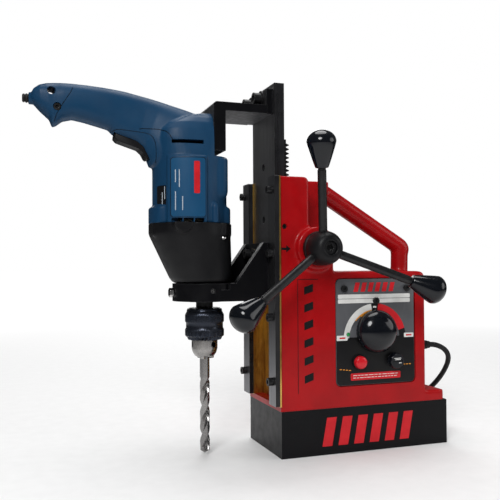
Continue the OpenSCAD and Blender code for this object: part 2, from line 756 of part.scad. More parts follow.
module housing_solid() {
    along_z(barrel_r, gear_z1 + 17, upper_z0 + 1, mx, 0);
    along_z(barrel_r + 4, gear_z1, gear_z1 + 14, mx, 0);
    translate([mx, 0, gear_z1 + 14]) cylinder(r1 = barrel_r + 4, r2 = barrel_r, h = 4);
    at_drill() {
        side_plate(-upper_y, upper_y) polygon([
            [housing_right, 313], [housing_right, 358], [-180, 358.5], [-200, 352], [-219, 344],
            [-224, 334], [drawn_at[0] - barrel_r + 1, 313]]);
        side_plate(-handle_y, handle_y) polygon(handle_outline);
    }
}

module housing_hollow() {
    along_z(barrel_r - shell_t, gear_z1 - 1, plate_z0, mx, 0);
    along_z(8 + slip, plate_z0 - 1, plate_z0 + 8, mx, 0);
    along_x(3 + slip, leg_x0 - 15, leg_x0 + 1, 0, bar_z0 - 22);
    at_drill() {
        side_plate(-handle_y + 3.5, handle_y - 3.5) polygon(hollow_outline);
        // slot for the trigger and its travel
        side_plate(-9, 9) for (d = [0:1.3:6.5])
            translate([d * sin(trigger_tilt), d * cos(trigger_tilt)]) roomy_trigger();
        along_y(3.5, -handle_y - 1, handle_y + 1, hanging_hole[0], hanging_hole[1]);
        along_x(5 + fit, -349, -338, 0, boot_z);
        for (p = housing_screw_places()) {
            along_y(2 + slip, -13, 14, p[0], p[1]);
            along_y(4, -upper_y - 1, -12, p[0], p[1]);
        }
        block(-211, -178, -upper_y - 1, -upper_y + 1.5, 324.5, 328);
        block(-211, -178, upper_y - 1.5, upper_y + 1, 324.5, 328);
    }
    // cooling slots
    for (s = [-1, 1], k = [0:2]) translate([mx - 6 + 9 * k, s * (barrel_r + 2), gear_z1 + 3.5])
        cube([7, 24, 4], center = true);
}

// The trigger's outline with a little room round it
module roomy_trigger() {
    for (a = [0:45:315]) translate(polar(0.6, a)) polygon(trigger_outline);
}

function housing_screw_places() = [[-321.5, 357], [-172, 322.5], [-209, 322.5]];

module housing_half(side) {
    color("#1f4e79") intersection() {
        difference() {
            housing_solid();
            housing_hollow();
        }
        block(-400, 0, side < 0 ? -100 : 0, side < 0 ? 0 : 100, 200, 420);
    }
}

module housing_screws() {
    color("#9a9a9e") at_drill() for (p = housing_screw_places())
        translate([p[0], -12, p[1]]) rotate([90, 0, 0]) cap_screw(3.5, 3, 2, 25);
}

module gear_housing() {
    color("#19191b") difference() {
        union() {
            hull() {
                translate([mx, 0, gear_z1 - 13]) cylinder(r = barrel_r + 4, h = 13, $fn = 48);
                translate([sx - 4, 0, gear_z0 + 5]) cylinder(r = 33.5, h = 1, $fn = 48);
            }
            along_z(31, gear_z0, gear_z0 + 6, sx - 3, 0);
            along_z(neck_r, collar_z0 - 1, gear_z0 + 1, sx, 0);
            for (x = [mx - 38, mx + 38]) along_z(4.5, gear_z1 - 13, gear_z1, x, -12);
            intersection() {
                along_y(9.5, -barrel_r - 5.6, -barrel_r + 6, mx - 17, gear_z1 - 1);
                block(mx - 40, mx + 10, -80, 0, gear_z1 - 14, gear_z1);
            }
        }
        along_z(24, gear_z0 + 10, gcover_z0, sx - 6, 0);
        along_z(36, gcover_z0, gear_z1 + 1, mx, 0);
        along_z(13 + slip, collar_z0 - 2, collar_z0 + 8, sx, 0);
        along_z(10, collar_z0 + 7, gear_z0 + 11, sx, 0);
        along_z(13 + slip, gear_z0 + 2, gear_z0 + 11, sx, 0);
    }
}

module gear_cover() {
    color("#8d9094") difference() {
        along_z(35.9, gcover_z0, gcover_z1, mx, 0);
        along_z(8 + slip, gcover_z0 + 1, gcover_z1 + 1, mx, 0);
        along_z(5, gcover_z0 - 1, gcover_z1 + 1, mx, 0);
    }
}

module bearing(outer, inner, z0, z1, x) {
    difference() {
        along_z(outer, z0, z1, x, 0);
        along_z(inner + fit, z0 - 1, z1 + 1, x, 0);
    }
}

module ball_bearings() {
    color("#b8bcc0") {
        bearing(13, spindle_r, collar_z0 - 0.5, collar_z0 + 7, sx);
        bearing(13, spindle_r, gear_z0 + 2.2, gear_z0 + 9.5, sx);
        bearing(8, 4, gcover_z0 + 1, gcover_z1 - 0.2, mx);
        bearing(8, 4, plate_z0 + 0.5, plate_z0 + 7.8, mx);
    }
}

module motor_stator() {
    color("#70757a") difference() {
        along_z(barrel_r - shell_t - 0.1, gear_z1 + 14, gear_z1 + 56, mx, 0);
        along_z(20, gear_z1 + 13, gear_z1 + 57, mx, 0);
    }
}

module armature() {
    color("#a0642c") {
        along_z(2.2, gear_low - 2, gear_high + 2, mx, 0);
        along_z(3, gear_high + 1, gcover_z0 - 1, mx, 0);
        translate([mx, 0, gear_low]) linear_extrude(gear_high - gear_low + 1)
            polygon(gear_outline(drill_module, drill_pinion_teeth, stub, 0.4, 0));
        along_z(4, gcover_z0 - 1 - eps, plate_z0 + 7, mx, 0);
        along_z(18.6, gear_z1 + 15, gear_z1 + 55, mx, 0);
        along_z(11, gear_z1 + 59, gear_z1 + 71, mx, 0);
    }
}

module cooling_fan() {
    color("#d8d8d0") difference() {
        union() {
            along_z(28, gear_z1 + 2, gear_z1 + 4, mx, 0);
            along_z(8, gear_z1 + 2, gear_z1 + 12, mx, 0);
            for (k = [0:9]) translate([mx, 0, gear_z1 + 3]) rotate([0, 0, 36 * k])
                translate([7, -0.8, 0]) cube([20, 1.6, 8]);
        }
        along_z(4 + 0.02, gear_z1, gear_z1 + 13, mx, 0);
    }
}

module spindle() {
    color("#9a9ca0") {
        along_z(9, chuck_top, collar_z0 - 1.6, sx, 0);
        along_z(5, chuck_top - 16, chuck_top + 1, sx, 0);
        along_z(spindle_r, collar_z0 - 2, gear_high + 6, sx, 0);
        along_z(9, gear_z0 + 10.2, gear_low, sx, 0);
    }
}

module spindle_gear() {
    color("#85888c") difference() {
        translate([sx, 0, gear_low]) linear_extrude(gear_high - gear_low)
            polygon(gear_outline(drill_module, drill_gear_teeth, stub, 0.4, 180 + 180 / drill_gear_teeth));
        along_z(spindle_r + 0.02, gear_low - 1, gear_high + 1, sx, 0);
    }
}

module trigger() {
    color("#18191c") at_drill() side_plate(-8.6, 8.6) polygon(trigger_outline);
}

module trigger_switch() {
    color("#303034") at_drill() translate([-250.5, 0, 357]) rotate([0, trigger_tilt - 15, 0])
        block(-14, 14, -handle_y + 3.6, handle_y - 3.6, -8, 8);
}

module cable_boot() {
    color("#0f0f11") at_drill() {
        along_x(5, -347, -338, 0, boot_z);
        translate([-354, 0, boot_z]) rotate([0, 90, 0]) cylinder(r1 = 4.2, r2 = 4.9, h = 7.5);
    }
}

// ---- chuck ----
module chuck_body() {
    color("#a8aaac") difference() {
        translate([sx, 0, 0]) rotate_extrude() polygon([
            [0, nose_z], [8, nose_z], [10.5, nose_z + 1.2], [12.8, nose_z + 5], [13.8, nose_z + 9],
            [13.8, nose_z + 18], [core_r, nose_z + 18.6], [core_r, chuck_top - 3.3], [19, chuck_top - 3.3],
            [18.2, chuck_top - 1], [16, chuck_top], [0, chuck_top]]);
        along_z(5 + 0.02, chuck_top - 16.5, chuck_top + 1, sx, 0);
        along_z(6.7, nose_z - 1, shank_top + 2, sx, 0);
        for (k = [0:2]) jaw_place(k) translate([0, 0, -9]) cylinder(r = jaw_r + fit, h = 52);
        for (k = [0:2]) translate([sx, 0, nose_z + 13.5]) rotate([0, 90, 120 * k - 62])
            cylinder(r = 3.1, h = 20);
    }
}

// Jaw's own frame: +Z up its bore, origin at the chuck's nose
module jaw_place(k) {
    translate([sx, 0, nose_z]) rotate([0, 0, 120 * k]) translate([jaw_axis, 0, 0]) rotate([0, jaw_tilt, 0])
        children();
}

module chuck_jaw(k) {
    color("#8e9092") difference() {
        jaw_place(k) translate([0, 0, -5]) cylinder(r = jaw_r, h = 27);
        along_z(bit_r + 0.03, 80, 160, sx, 0);
        along_z(40, nose_z - 12, nose_z - 1.8, sx, 0);
    }
}

module chuck_sleeve() {
    top = chuck_top - 3.4;
    low = nose_z + 21.5;
    color("#15171c") difference() {
        translate([sx, 0, 0]) rotate_extrude() polygon([
            [core_r + 0.08, low - 3.3], [sleeve_r - 3, low - 3.3], [sleeve_r - 2.2, low],
            [sleeve_r - 0.6, low], [sleeve_r, low + 1.2], [sleeve_r, low + 8.5],
            [sleeve_r - 1.1, low + 10], [sleeve_r - 1.1, low + 14.5], [sleeve_r, low + 16],
            [sleeve_r, top - 3.5], [sleeve_r - 2, top], [core_r + 0.08, top],
            [core_r + 0.08, top - 3], [17.4, top - 3.2], [17.4, low - 1.2], [core_r + 0.08, low - 1.4]]);
        for (k = [0:29]) translate([sx, 0, low - 3.4]) rotate([0, 0, 12 * k]) translate([15, 0, 0])
            rotate([0, 0, 45]) cube([1.6, 1.6, 2.2]);
    }
}

module drill_bit() {
    flute_top = 82;
    tip_h = bit_r / tan(59);
    color("#9fa1a3") translate([sx, 0, 0]) {
        translate([0, 0, flute_top]) cylinder(r = bit_r, h = shank_top - flute_top);
        translate([0, 0, bit_tip]) cylinder(r1 = 0.05, r2 = bit_r * 0.6, h = tip_h * 0.6);
        translate([0, 0, bit_tip + tip_h * 0.6 - eps])
            linear_extrude(flute_top - bit_tip - tip_h * 0.6 + 2 * eps, twist = -480, slices = 48)
            difference() {
                circle(bit_r - 0.02, $fn = 28);
                for (s = [-1, 1])
                    translate([s * bit_r * 0.78, s * bit_r * 0.2]) circle(bit_r * 0.52, $fn = 16);
            }
    }
}

magnet_core();
magnet_coil();
coil_potting();
stand_casting();
rear_cover();
rear_cover_screws();
control_panel();
panel_screws();
power_switch();
push_switch();
indicator_lamp();
fuse_holder();
cord_gland();
keeper(-1);  // keeper_near
keeper(1);  // keeper_far
gib_strips();
channel_liners();
keeper_screws();
gib_lock_screw();
pinion_bushes();
base_bolts();
mains_cord();
cord_coil();
mains_plug();
pinion_shaft();
feed_hub();
hub_screw();
feed_spokes();
feed_knobs();
slide_plate();
gear_rack();
rack_screws();
collar_bracket();
bracket_screws();
clamp_screws();
top_bracket();
top_bracket_bolts();
steady_bolt();
housing_half(-1);  // housing_near
housing_half(1);  // housing_far
housing_screws();
gear_housing();
gear_cover();
ball_bearings();
motor_stator();
trigger_switch();
cable_boot();
trigger();
armature();
cooling_fan();
spindle();
spindle_gear();
chuck_body();
drill_bit();
chuck_sleeve();
chuck_jaw(0);  // chuck_jaw_1
chuck_jaw(1);  // chuck_jaw_2
chuck_jaw(2);  // chuck_jaw_3
switch_knob();
push_button();
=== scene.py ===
"""Looks of a portable magnetic drill press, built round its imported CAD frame. Sizes here are in millimetres
and are turned into metres where a mesh or an object is made. +X to the control box, +Y to the rear, +Z up."""
import json
import math
import random

import bmesh
import bpy
from mathutils import Matrix, Vector
from mathutils.bvhtree import BVHTree


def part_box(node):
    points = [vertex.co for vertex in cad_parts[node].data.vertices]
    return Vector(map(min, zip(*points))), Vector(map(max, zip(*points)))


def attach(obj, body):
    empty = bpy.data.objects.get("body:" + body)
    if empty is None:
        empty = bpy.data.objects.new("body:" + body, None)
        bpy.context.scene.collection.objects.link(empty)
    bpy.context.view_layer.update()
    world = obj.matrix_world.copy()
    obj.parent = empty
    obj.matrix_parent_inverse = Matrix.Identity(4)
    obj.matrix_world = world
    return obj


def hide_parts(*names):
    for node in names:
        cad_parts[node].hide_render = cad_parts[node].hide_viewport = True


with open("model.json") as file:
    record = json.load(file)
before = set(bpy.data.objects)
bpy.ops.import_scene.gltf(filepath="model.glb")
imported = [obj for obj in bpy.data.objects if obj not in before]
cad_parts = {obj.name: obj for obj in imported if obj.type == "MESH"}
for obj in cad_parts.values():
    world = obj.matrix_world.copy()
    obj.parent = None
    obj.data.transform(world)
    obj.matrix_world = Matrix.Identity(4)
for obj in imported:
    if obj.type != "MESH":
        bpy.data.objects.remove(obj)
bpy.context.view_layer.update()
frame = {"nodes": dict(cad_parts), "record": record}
MM = 0.001
random.seed(7)


# ---------------------------------------------------------------- frame positions
def span(node):
    """A CAD node's lowest and highest corners, in millimetres."""
    lo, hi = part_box(node)
    return Vector(lo) / MM, Vector(hi) / MM


def middle(node):
    lo, hi = span(node)
    return (lo + hi) / 2


# ---------------------------------------------------------------- camera
CAMERA_PLACE = (-367.3, -713.8, 200.2)
CAMERA_TURN, CAMERA_RISE, CAMERA_ROLL = 19.35, 1.27, -0.3      # degrees
CAMERA_LENS = 49.78


def aim_camera():
    """The camera stands 200 mm above the bench, in front of the drill's side."""
    azimuth, rise, roll = (math.radians(a) for a in (CAMERA_TURN, CAMERA_RISE, CAMERA_ROLL))
    forward = Vector((math.sin(azimuth) * math.cos(rise), math.cos(azimuth) * math.cos(rise), math.sin(rise)))
    right = Vector((math.cos(azimuth), -math.sin(azimuth), 0))
    up = right.cross(forward)
    right, up = (math.cos(roll) * right + math.sin(roll) * up, math.cos(roll) * up - math.sin(roll) * right)
    data = bpy.data.cameras.new("camera")
    data.lens, data.sensor_width = CAMERA_LENS, 36.0
    data.clip_start, data.clip_end = 0.01, 50.0
    camera = bpy.data.objects.new("camera", data)
    bpy.context.scene.collection.objects.link(camera)
    place = Matrix((right, up, -forward)).transposed().to_4x4()
    place.translation = Vector(CAMERA_PLACE) * MM
    camera.matrix_world = place
    bpy.context.scene.camera = camera


aim_camera()


# ---------------------------------------------------------------- materials
class Nodes:
    """A small wrapper that makes and links shader nodes."""

    def __init__(self, name):
        self.material = bpy.data.materials.new(name)
        self.material.use_nodes = True
        self.tree = self.material.node_tree
        self.shader = self.tree.nodes["Principled BSDF"]

    def add(self, kind, inputs=None, **settings):
        node = self.tree.nodes.new("ShaderNode" + kind)
        for key, value in settings.items():
            setattr(node, key, value)
        for key, value in (inputs or {}).items():
            self.put(value, node.inputs[key])
        return node

    def put(self, value, socket):
        if isinstance(value, bpy.types.NodeSocket):
            self.tree.links.new(value, socket)
        else:
            socket.default_value = value

    def place(self, stretch=(1, 1, 1)):
        """Object coordinates in metres, stretched for grain that runs one way."""
        where = self.add("TexCoord")
        return self.add("Mapping", {"Vector": where.outputs["Object"], "Scale": stretch}).outputs["Vector"]

    def noise(self, scale, detail=4.0, stretch=(1, 1, 1), rough=0.55):
        return self.add("TexNoise", {"Vector": self.place(stretch), "Scale": scale, "Detail": detail,
                                     "Roughness": rough}).outputs["Fac"]

    def span(self, value, low, high, to_low=0.0, to_high=1.0):
        return self.add("MapRange", {"Value": value, "From Min": low, "From Max": high, "To Min": to_low,
                                     "To Max": to_high}).outputs["Result"]

    def mix(self, amount, first, second):
        node = self.add("Mix", data_type="RGBA")
        self.put(amount, node.inputs["Factor"])
        self.put(first, node.inputs[6])
        self.put(second, node.inputs[7])
        return node.outputs[2]

    def give(self, inputs):
        """Sets or links inputs of the material's shader."""
        for key, value in inputs.items():
            self.put(value, self.shader.inputs[key])

    def two_tone(self, value, first, second):
        return self.mix(self.span(value, 0.35, 0.65), rgba(first), rgba(second))

    def wander(self, value, level, most=1.25):
        """A roughness that wanders round its level."""
        return self.span(value, 0.3, 0.7, level * 0.8, level * most)

    def bump(self, *heights):
        """Chains bumps: each is (height socket, depth in metres, strength)."""
        normal = None
        for height, depth, strength in heights:
            inputs = {"Height": height, "Distance": depth, "Strength": strength}
            if normal is not None:
                inputs["Normal"] = normal
            normal = self.add("Bump", inputs).outputs["Normal"]
        self.give({"Normal": normal})


def rgba(c):
    return (c[0], c[1], c[2], 1.0)


def material(name, colour, second, rough, mottle, metal=0.0, coat=0.0, peel=None, grain=None):
    """A painted, moulded or machined finish, whose colour wanders between two tones at the mottle's scale.
    peel is (scale, depth) of a fine relief, and grain is the stretch of lines left by machining."""
    n = Nodes(name)
    n.give({"Base Color": n.two_tone(n.noise(mottle, 5.0), colour, second), "Metallic": metal})
    if coat:
        n.give({"Coat Weight": coat, "Coat Roughness": 0.08})
    if not metal:
        n.give({"Specular IOR Level": 0.2})
    roughness = n.wander(n.noise(mottle * 2.3, 6.0), rough)
    heights = []
    if grain:
        lines = n.noise(1.0, 3.0, grain)
        factor = n.span(lines, 0.3, 0.7, 0.75, 1.25)
        roughness = n.add("Math", {0: roughness, 1: factor}, operation="MULTIPLY").outputs[0]
        heights.append((lines, 0.00002, 0.5))
    n.give({"Roughness": roughness})
    if peel:
        heights.append((n.noise(peel[0], 3.0), peel[1], 1.0))
    n.bump(*heights)
    return n.material


def printed(name, colour, second, rough=0.4, mottle=80.0):
    """A smooth printed film."""
    return material(name, colour, second, rough, mottle, peel=(900.0, 0.00001))


def wear_material(name, colour, bare, rough, peel, amount, coat=0.0, metal_bare=True):
    """Paint that is rubbed through to what is under it along convex edges."""
    n = Nodes(name)
    soft = n.add("Bevel", {"Radius": 0.0007}, samples=4).outputs["Normal"]
    flat = n.add("NewGeometry").outputs["Normal"]
    match = n.add("VectorMath", {0: soft, 1: flat}, operation="DOT_PRODUCT").outputs["Value"]
    ragged = n.span(n.noise(170.0, 6.0), 0.3, 0.7, -0.06, 0.06)
    edge = n.add("Math", {0: match, 1: ragged}, operation="ADD").outputs[0]
    worn = n.span(edge, 0.93, 0.84, 0.0, amount)
    patches = n.two_tone(n.noise(35.0, 5.0), colour, [c * 0.82 for c in colour])
    n.give({"Base Color": n.mix(worn, patches, rgba(bare)), "Roughness": n.wander(n.noise(90.0, 6.0), rough),
            "Specular IOR Level": 0.12})
    if metal_bare:
        n.give({"Metallic": worn})
    if coat:
        n.give({"Coat Weight": coat, "Coat Roughness": 0.06})
    n.bump((n.noise(peel[0], 3.0), peel[1], 1.0))
    return n.material


def stained_brass():
    n = Nodes("stained_brass")
    stain = n.noise(55.0, 7.0, (1, 1, 0.25), 0.65)
    n.give({"Base Color": n.mix(n.span(stain, 0.42, 0.62), rgba((0.78, 0.50, 0.13)), rgba((0.26, 0.12, 0.03))),
            "Metallic": 1.0, "Roughness": n.span(stain, 0.3, 0.7, 0.22, 0.5)})
    n.bump((n.noise(1.0, 3.0, (900, 900, 12)), 0.00002, 0.5))
    return n.material


def ground_steel(name, light, dark, rough, lines=(700, 700, 10)):
    """Bare steel with grinding lines and an oily tone that wanders."""
    n = Nodes(name)
    streak = n.noise(1.0, 4.0, lines)
    base = n.two_tone(n.noise(14.0, 4.0, (1, 1, 0.5)), light, dark)
    base = n.mix(n.span(streak, 0.55, 0.8, 0.0, 0.35), base, rgba([c * 0.6 for c in dark]))
    n.give({"Base Color": base, "Metallic": 1.0, "Roughness": n.wander(streak, rough, 1.3)})
    n.bump((streak, 0.000015, 0.6))
    return n.material


NEAR_BLACK = (0.004, 0.004, 0.005)
RED = wear_material("red_enamel", (0.37, 0.003, 0.005), (0.26, 0.02, 0.02), 0.36, (180.0, 0.00002), 0.35,
                    coat=0.2, metal_bare=False)
BASE_BLACK = wear_material("satin_black_paint", NEAR_BLACK, (0.10, 0.10, 0.11), 0.34, (420.0, 0.00004), 0.4,
                           coat=0.05)
BRACKET_BLACK = wear_material("bracket_black", NEAR_BLACK, (0.16, 0.16, 0.17), 0.36, (600.0, 0.00003), 0.55)
# painted light: a lighter grey steel for the top bracket's faces that turn left and down, towards the key lamp
# and the white floor
BRACKET_PAINTED_LIGHT = ground_steel("bracket_face_painted_light", (0.16, 0.16, 0.17), (0.10, 0.10, 0.105), 0.42,
                            (200, 200, 200))
SLIDE_STEEL = ground_steel("ground_slide_steel", (0.30, 0.30, 0.315), (0.19, 0.19, 0.20), 0.34)
KEEPER_STEEL = ground_steel("ground_keeper_steel", (0.24, 0.24, 0.255), (0.15, 0.15, 0.16), 0.36)
BRIGHT_STEEL = ground_steel("bright_steel", (0.72, 0.71, 0.70), (0.55, 0.54, 0.54), 0.22, (900, 900, 900))
BIT_STEEL = ground_steel("drill_bit_steel", (0.46, 0.45, 0.435), (0.27, 0.262, 0.26), 0.26, (300, 300, 1500))
BRASS = stained_brass()
OXIDE = material("black_oxide", (0.008, 0.008, 0.009), (0.014, 0.014, 0.015), 0.36, 120.0, metal=0.3,
                 peel=(900.0, 0.00002))
# painted shade: a near-black steel for the sides of the slide and the keepers, darker than their ground faces
SHADED_SIDE_STEEL = material("steel_painted_side_shade", (0.010, 0.010, 0.012), (0.024, 0.024, 0.026), 0.34, 30.0, metal=0.4,
                      grain=(500, 500, 12))
CHROME = material("polished_chuck_steel", (0.40, 0.385, 0.37), (0.30, 0.29, 0.285), 0.24, 90.0, metal=1.0,
                  grain=(30, 30, 1400))
SLEEVE_BLACK = material("blued_chuck_steel", (0.020, 0.026, 0.040), (0.032, 0.036, 0.048), 0.30, 80.0,
                        metal=0.75, grain=(20, 20, 900))
COPPER = material("wound_copper", (0.55, 0.22, 0.08), (0.40, 0.15, 0.05), 0.35, 60.0, metal=1.0,
                  grain=(900, 900, 20))
CAST_ALLOY = material("cast_alloy", (0.50, 0.51, 0.53), (0.38, 0.39, 0.41), 0.45, 60.0, metal=1.0,
                      peel=(700.0, 0.00008))
BLUE = material("blue_nylon", (0.005, 0.038, 0.092), (0.006, 0.045, 0.106), 0.42, 22.0, peel=(2600.0, 0.000030))
BLACK_NYLON = material("black_nylon", NEAR_BLACK, (0.007, 0.007, 0.008), 0.44, 35.0, peel=(1800.0, 0.00005))
BLACK_GLOSS = material("black_phenolic", (0.003, 0.004, 0.006), (0.005, 0.006, 0.009), 0.16, 25.0, coat=0.4,
                       peel=(120.0, 0.00002))
RUBBER = material("black_rubber", (0.008, 0.008, 0.009), (0.014, 0.014, 0.015), 0.58, 60.0,
                  peel=(1400.0, 0.00006))
RESIN = material("potting_resin", (0.06, 0.035, 0.025), (0.09, 0.05, 0.035), 0.4, 50.0, peel=(200.0, 0.0001))
CREAM = material("cream_plastic", (0.55, 0.50, 0.40), (0.48, 0.44, 0.36), 0.45, 60.0, peel=(900.0, 0.00002))
PANEL_GREY = material("panel_grey", (0.095, 0.098, 0.106), (0.080, 0.083, 0.090), 0.36, 30.0, coat=0.15,
                      peel=(800.0, 0.00001))
PANEL_BLACK = material("panel_black", (0.003, 0.003, 0.004), (0.006, 0.006, 0.006), 0.34, 30.0, coat=0.1,
                       peel=(800.0, 0.00001))
BUTTON_RED = material("red_button_plastic", (0.62, 0.012, 0.02), (0.54, 0.010, 0.018), 0.25, 60.0, coat=0.4,
                      peel=(400.0, 0.00001))
LAMP_GREEN = material("green_lens", (0.01, 0.30, 0.06), (0.01, 0.22, 0.05), 0.12, 200.0, coat=0.8,
                      peel=(300.0, 0.00001))
PRINT_WHITE = printed("print_white", (0.72, 0.72, 0.70), (0.60, 0.60, 0.58))
PRINT_RED = printed("print_red", (0.58, 0.015, 0.022), (0.50, 0.012, 0.018), 0.36)
PRINT_ORANGE = printed("print_orange", (0.75, 0.30, 0.03), (0.66, 0.25, 0.03))
PRINT_PALE = printed("print_pale", (0.45, 0.50, 0.55), (0.38, 0.43, 0.48))
PRINT_BLACK = printed("print_black", NEAR_BLACK, (0.007, 0.007, 0.008), mottle=50.0)
BLUE_LABEL = printed("blue_label_film", (0.008, 0.062, 0.145), (0.010, 0.070, 0.158), 0.36, 20.0)


def pale_floor():
    """White sweep: a matt surface near the part, and further off it glows like the lit wall behind it."""
    n = Nodes("pale_floor")
    black, full = rgba((0, 0, 0)), rgba((1, 1, 1))
    where = n.add("TexCoord").outputs["Object"]
    far = n.add("VectorMath", {0: where}, operation="LENGTH").outputs["Value"]
    glow = n.span(far, 0.35, 1.6)
    fine = n.noise(60.0, 4.0)
    white = n.mix(n.span(fine, 0.3, 0.7), rgba((0.86, 0.86, 0.86)), rgba((0.83, 0.83, 0.83)))
    n.give({"Base Color": n.mix(glow, white, black), "Emission Color": n.mix(glow, black, full),
            "Emission Strength": n.add("LightPath").outputs["Is Camera Ray"],
            "Roughness": n.span(fine, 0.3, 0.7, 0.7, 0.85), "Specular IOR Level": 0.1})
    return n.material


FLOOR = pale_floor()


# ---------------------------------------------------------------- mesh tools
SMOOTH = 35.0                                # degrees up to which two faces are shaded as one


def made(name, bm, body, look, smooth=SMOOTH):
    """Turns a bmesh in millimetres into a piece that rides on a body."""
    bmesh.ops.recalc_face_normals(bm, faces=bm.faces)
    bmesh.ops.scale(bm, vec=(MM, MM, MM), verts=bm.verts)
    mesh = bpy.data.meshes.new(name)
    bm.to_mesh(mesh)
    bm.free()
    return dressed(bpy.data.objects.new(name, mesh), body, look, smooth)


def dressed(piece, body, look, smooth):
    if piece.name not in bpy.context.scene.collection.objects:
        bpy.context.scene.collection.objects.link(piece)
    piece.data.materials.clear()
    piece.data.materials.append(look)
    shade(piece, smooth)
    if body:
        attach(piece, body)
    return piece


def shade(piece, degrees):
    piece.data.shade_smooth()
    piece.data.set_sharp_from_angle(angle=math.radians(degrees))


def apply(piece):
    """Bakes a piece's modifiers into its mesh."""
    bpy.context.view_layer.update()
    graph = bpy.context.evaluated_depsgraph_get()
    mesh = bpy.data.meshes.new_from_object(piece.evaluated_get(graph))
    piece.modifiers.clear()
    old, piece.data = piece.data, mesh
    bpy.data.meshes.remove(old)


def skin(bm, sections):
    """Joins rings of points with quads."""
    rings = [[bm.verts.new(p) for p in ring] for ring in sections]
    for a, b in zip(rings, rings[1:]):
        for k in range(len(a)):
            m = (k + 1) % len(a)
            bm.faces.new((a[k], a[m], b[m], b[k]))
    return rings


def loft(bm, sections):
    """A closed skin through rings of points, with flat ends."""
    rings = skin(bm, sections)
    bm.faces.new(list(reversed(rings[0])))
    bm.faces.new(rings[-1])


def hoop(bm, sections):
    """A closed skin whose last ring meets its first."""
    skin(bm, sections + sections[:1])
    bmesh.ops.remove_doubles(bm, verts=bm.verts, dist=1e-5)


def prism(bm, outline, y0, y1):
    """An outline in X and Z with a thickness along Y."""
    loft(bm, [[(x, y, z) for x, z in outline] for y in (y0, y1)])


def block(bm, lo, hi):
    loft(bm, [[(x, y, z) for x, y in ((lo[0], lo[1]), (hi[0], lo[1]), (hi[0], hi[1]), (lo[0], hi[1]))]
              for z in (lo[2], hi[2])])


def frame_of(direction):
    """Two directions square to a given one."""
    d = Vector(direction).normalized()
    side = d.cross(Vector((0, 0, 1))) if abs(d.z) < 0.9 else d.cross(Vector((0, 1, 0)))
    side.normalize()
    return side, d.cross(side)


def lathe(bm, profile, origin, direction, count, wave=None):
    """Turns a profile of (radius, distance along). wave(angle, radius, distance) changes the radius."""
    d = Vector(direction).normalized()
    u, v = frame_of(d)
    rings = []
    for r, t in profile:
        ring = []
        for k in range(count):
            a = 2 * math.pi * k / count
            rr = wave(a, r, t) if wave else r
            ring.append(Vector(origin) + d * t + (u * math.cos(a) + v * math.sin(a)) * rr)
        rings.append(ring)
    loft(bm, rings)


def rounded(points, radius, steps=5):
    """Rounds the corners of an outline. radius is one number, or one for each point."""
    out = []
    count = len(points)
    for i, p in enumerate(points):
        r = radius[i] if isinstance(radius, (list, tuple)) else radius
        p, a, b = Vector(p), Vector(points[i - 1]), Vector(points[(i + 1) % count])
        if r <= 0:
            out.append(tuple(p))
            continue
        to_a, to_b = (a - p).normalized(), (b - p).normalized()
        half = to_a.angle(to_b) / 2
        reach = min(r / math.tan(half), (a - p).length * 0.49, (b - p).length * 0.49)
        start, end = p + to_a * reach, p + to_b * reach
        for k in range(steps + 1):
            t = k / steps
            out.append(tuple((1 - t) ** 2 * start + 2 * t * (1 - t) * p + t * t * end))
    return out


def rect(x0, x1, z0, z1):
    return [(x0, z0), (x1, z0), (x1, z1), (x0, z1)]


def arc(x, z, r, degrees):
    return [(x + r * math.cos(math.radians(d)), z + r * math.sin(math.radians(d))) for d in degrees]


def oval(x, z, rx, rz, count, power):
    """A superellipse outline."""
    def side(v):
        return math.copysign(abs(v) ** (2.0 / power), v)
    angles = [2 * math.pi * k / count for k in range(count)]
    return [(x + rx * side(math.cos(a)), z + rz * side(math.sin(a))) for a in angles]


def fused(piece, voxel, passes, kept=None):
    """Joins overlapping closed shapes into one skin and softens every edge, as a casting or moulding has.
    kept is the share of faces that stay afterwards."""
    remesh = piece.modifiers.new("remesh", "REMESH")
    remesh.mode, remesh.voxel_size = "VOXEL", voxel * MM
    smooth = piece.modifiers.new("smooth", "SMOOTH")
    smooth.factor, smooth.iterations = 0.5, passes
    apply(piece)
    if kept:
        piece.modifiers.new("thin", "DECIMATE").ratio = kept
        apply(piece)


def cut(piece, bm, keep=False):
    """Takes the shapes in bm, in millimetres, out of a piece, or keeps only what is inside them."""
    bmesh.ops.recalc_face_normals(bm, faces=bm.faces)
    bmesh.ops.scale(bm, vec=(MM, MM, MM), verts=bm.verts)
    mesh = bpy.data.meshes.new("cutter")
    bm.to_mesh(mesh)
    bm.free()
    tool = bpy.data.objects.new("cutter", mesh)
    bpy.context.scene.collection.objects.link(tool)
    boolean = piece.modifiers.new("cut", "BOOLEAN")
    boolean.object, boolean.solver = tool, "MANIFOLD"
    boolean.operation = "INTERSECT" if keep else "DIFFERENCE"
    apply(piece)
    bpy.data.objects.remove(tool)


def take(piece, shape, *where):
    """Takes one shape out of a piece."""
    bm = bmesh.new()
    shape(bm, *where)
    cut(piece, bm)


def single(name, body, look, smooth, shape, *where):
    """A piece that is one shape."""
    bm = bmesh.new()
    shape(bm, *where)
    return made(name, bm, body, look, smooth)


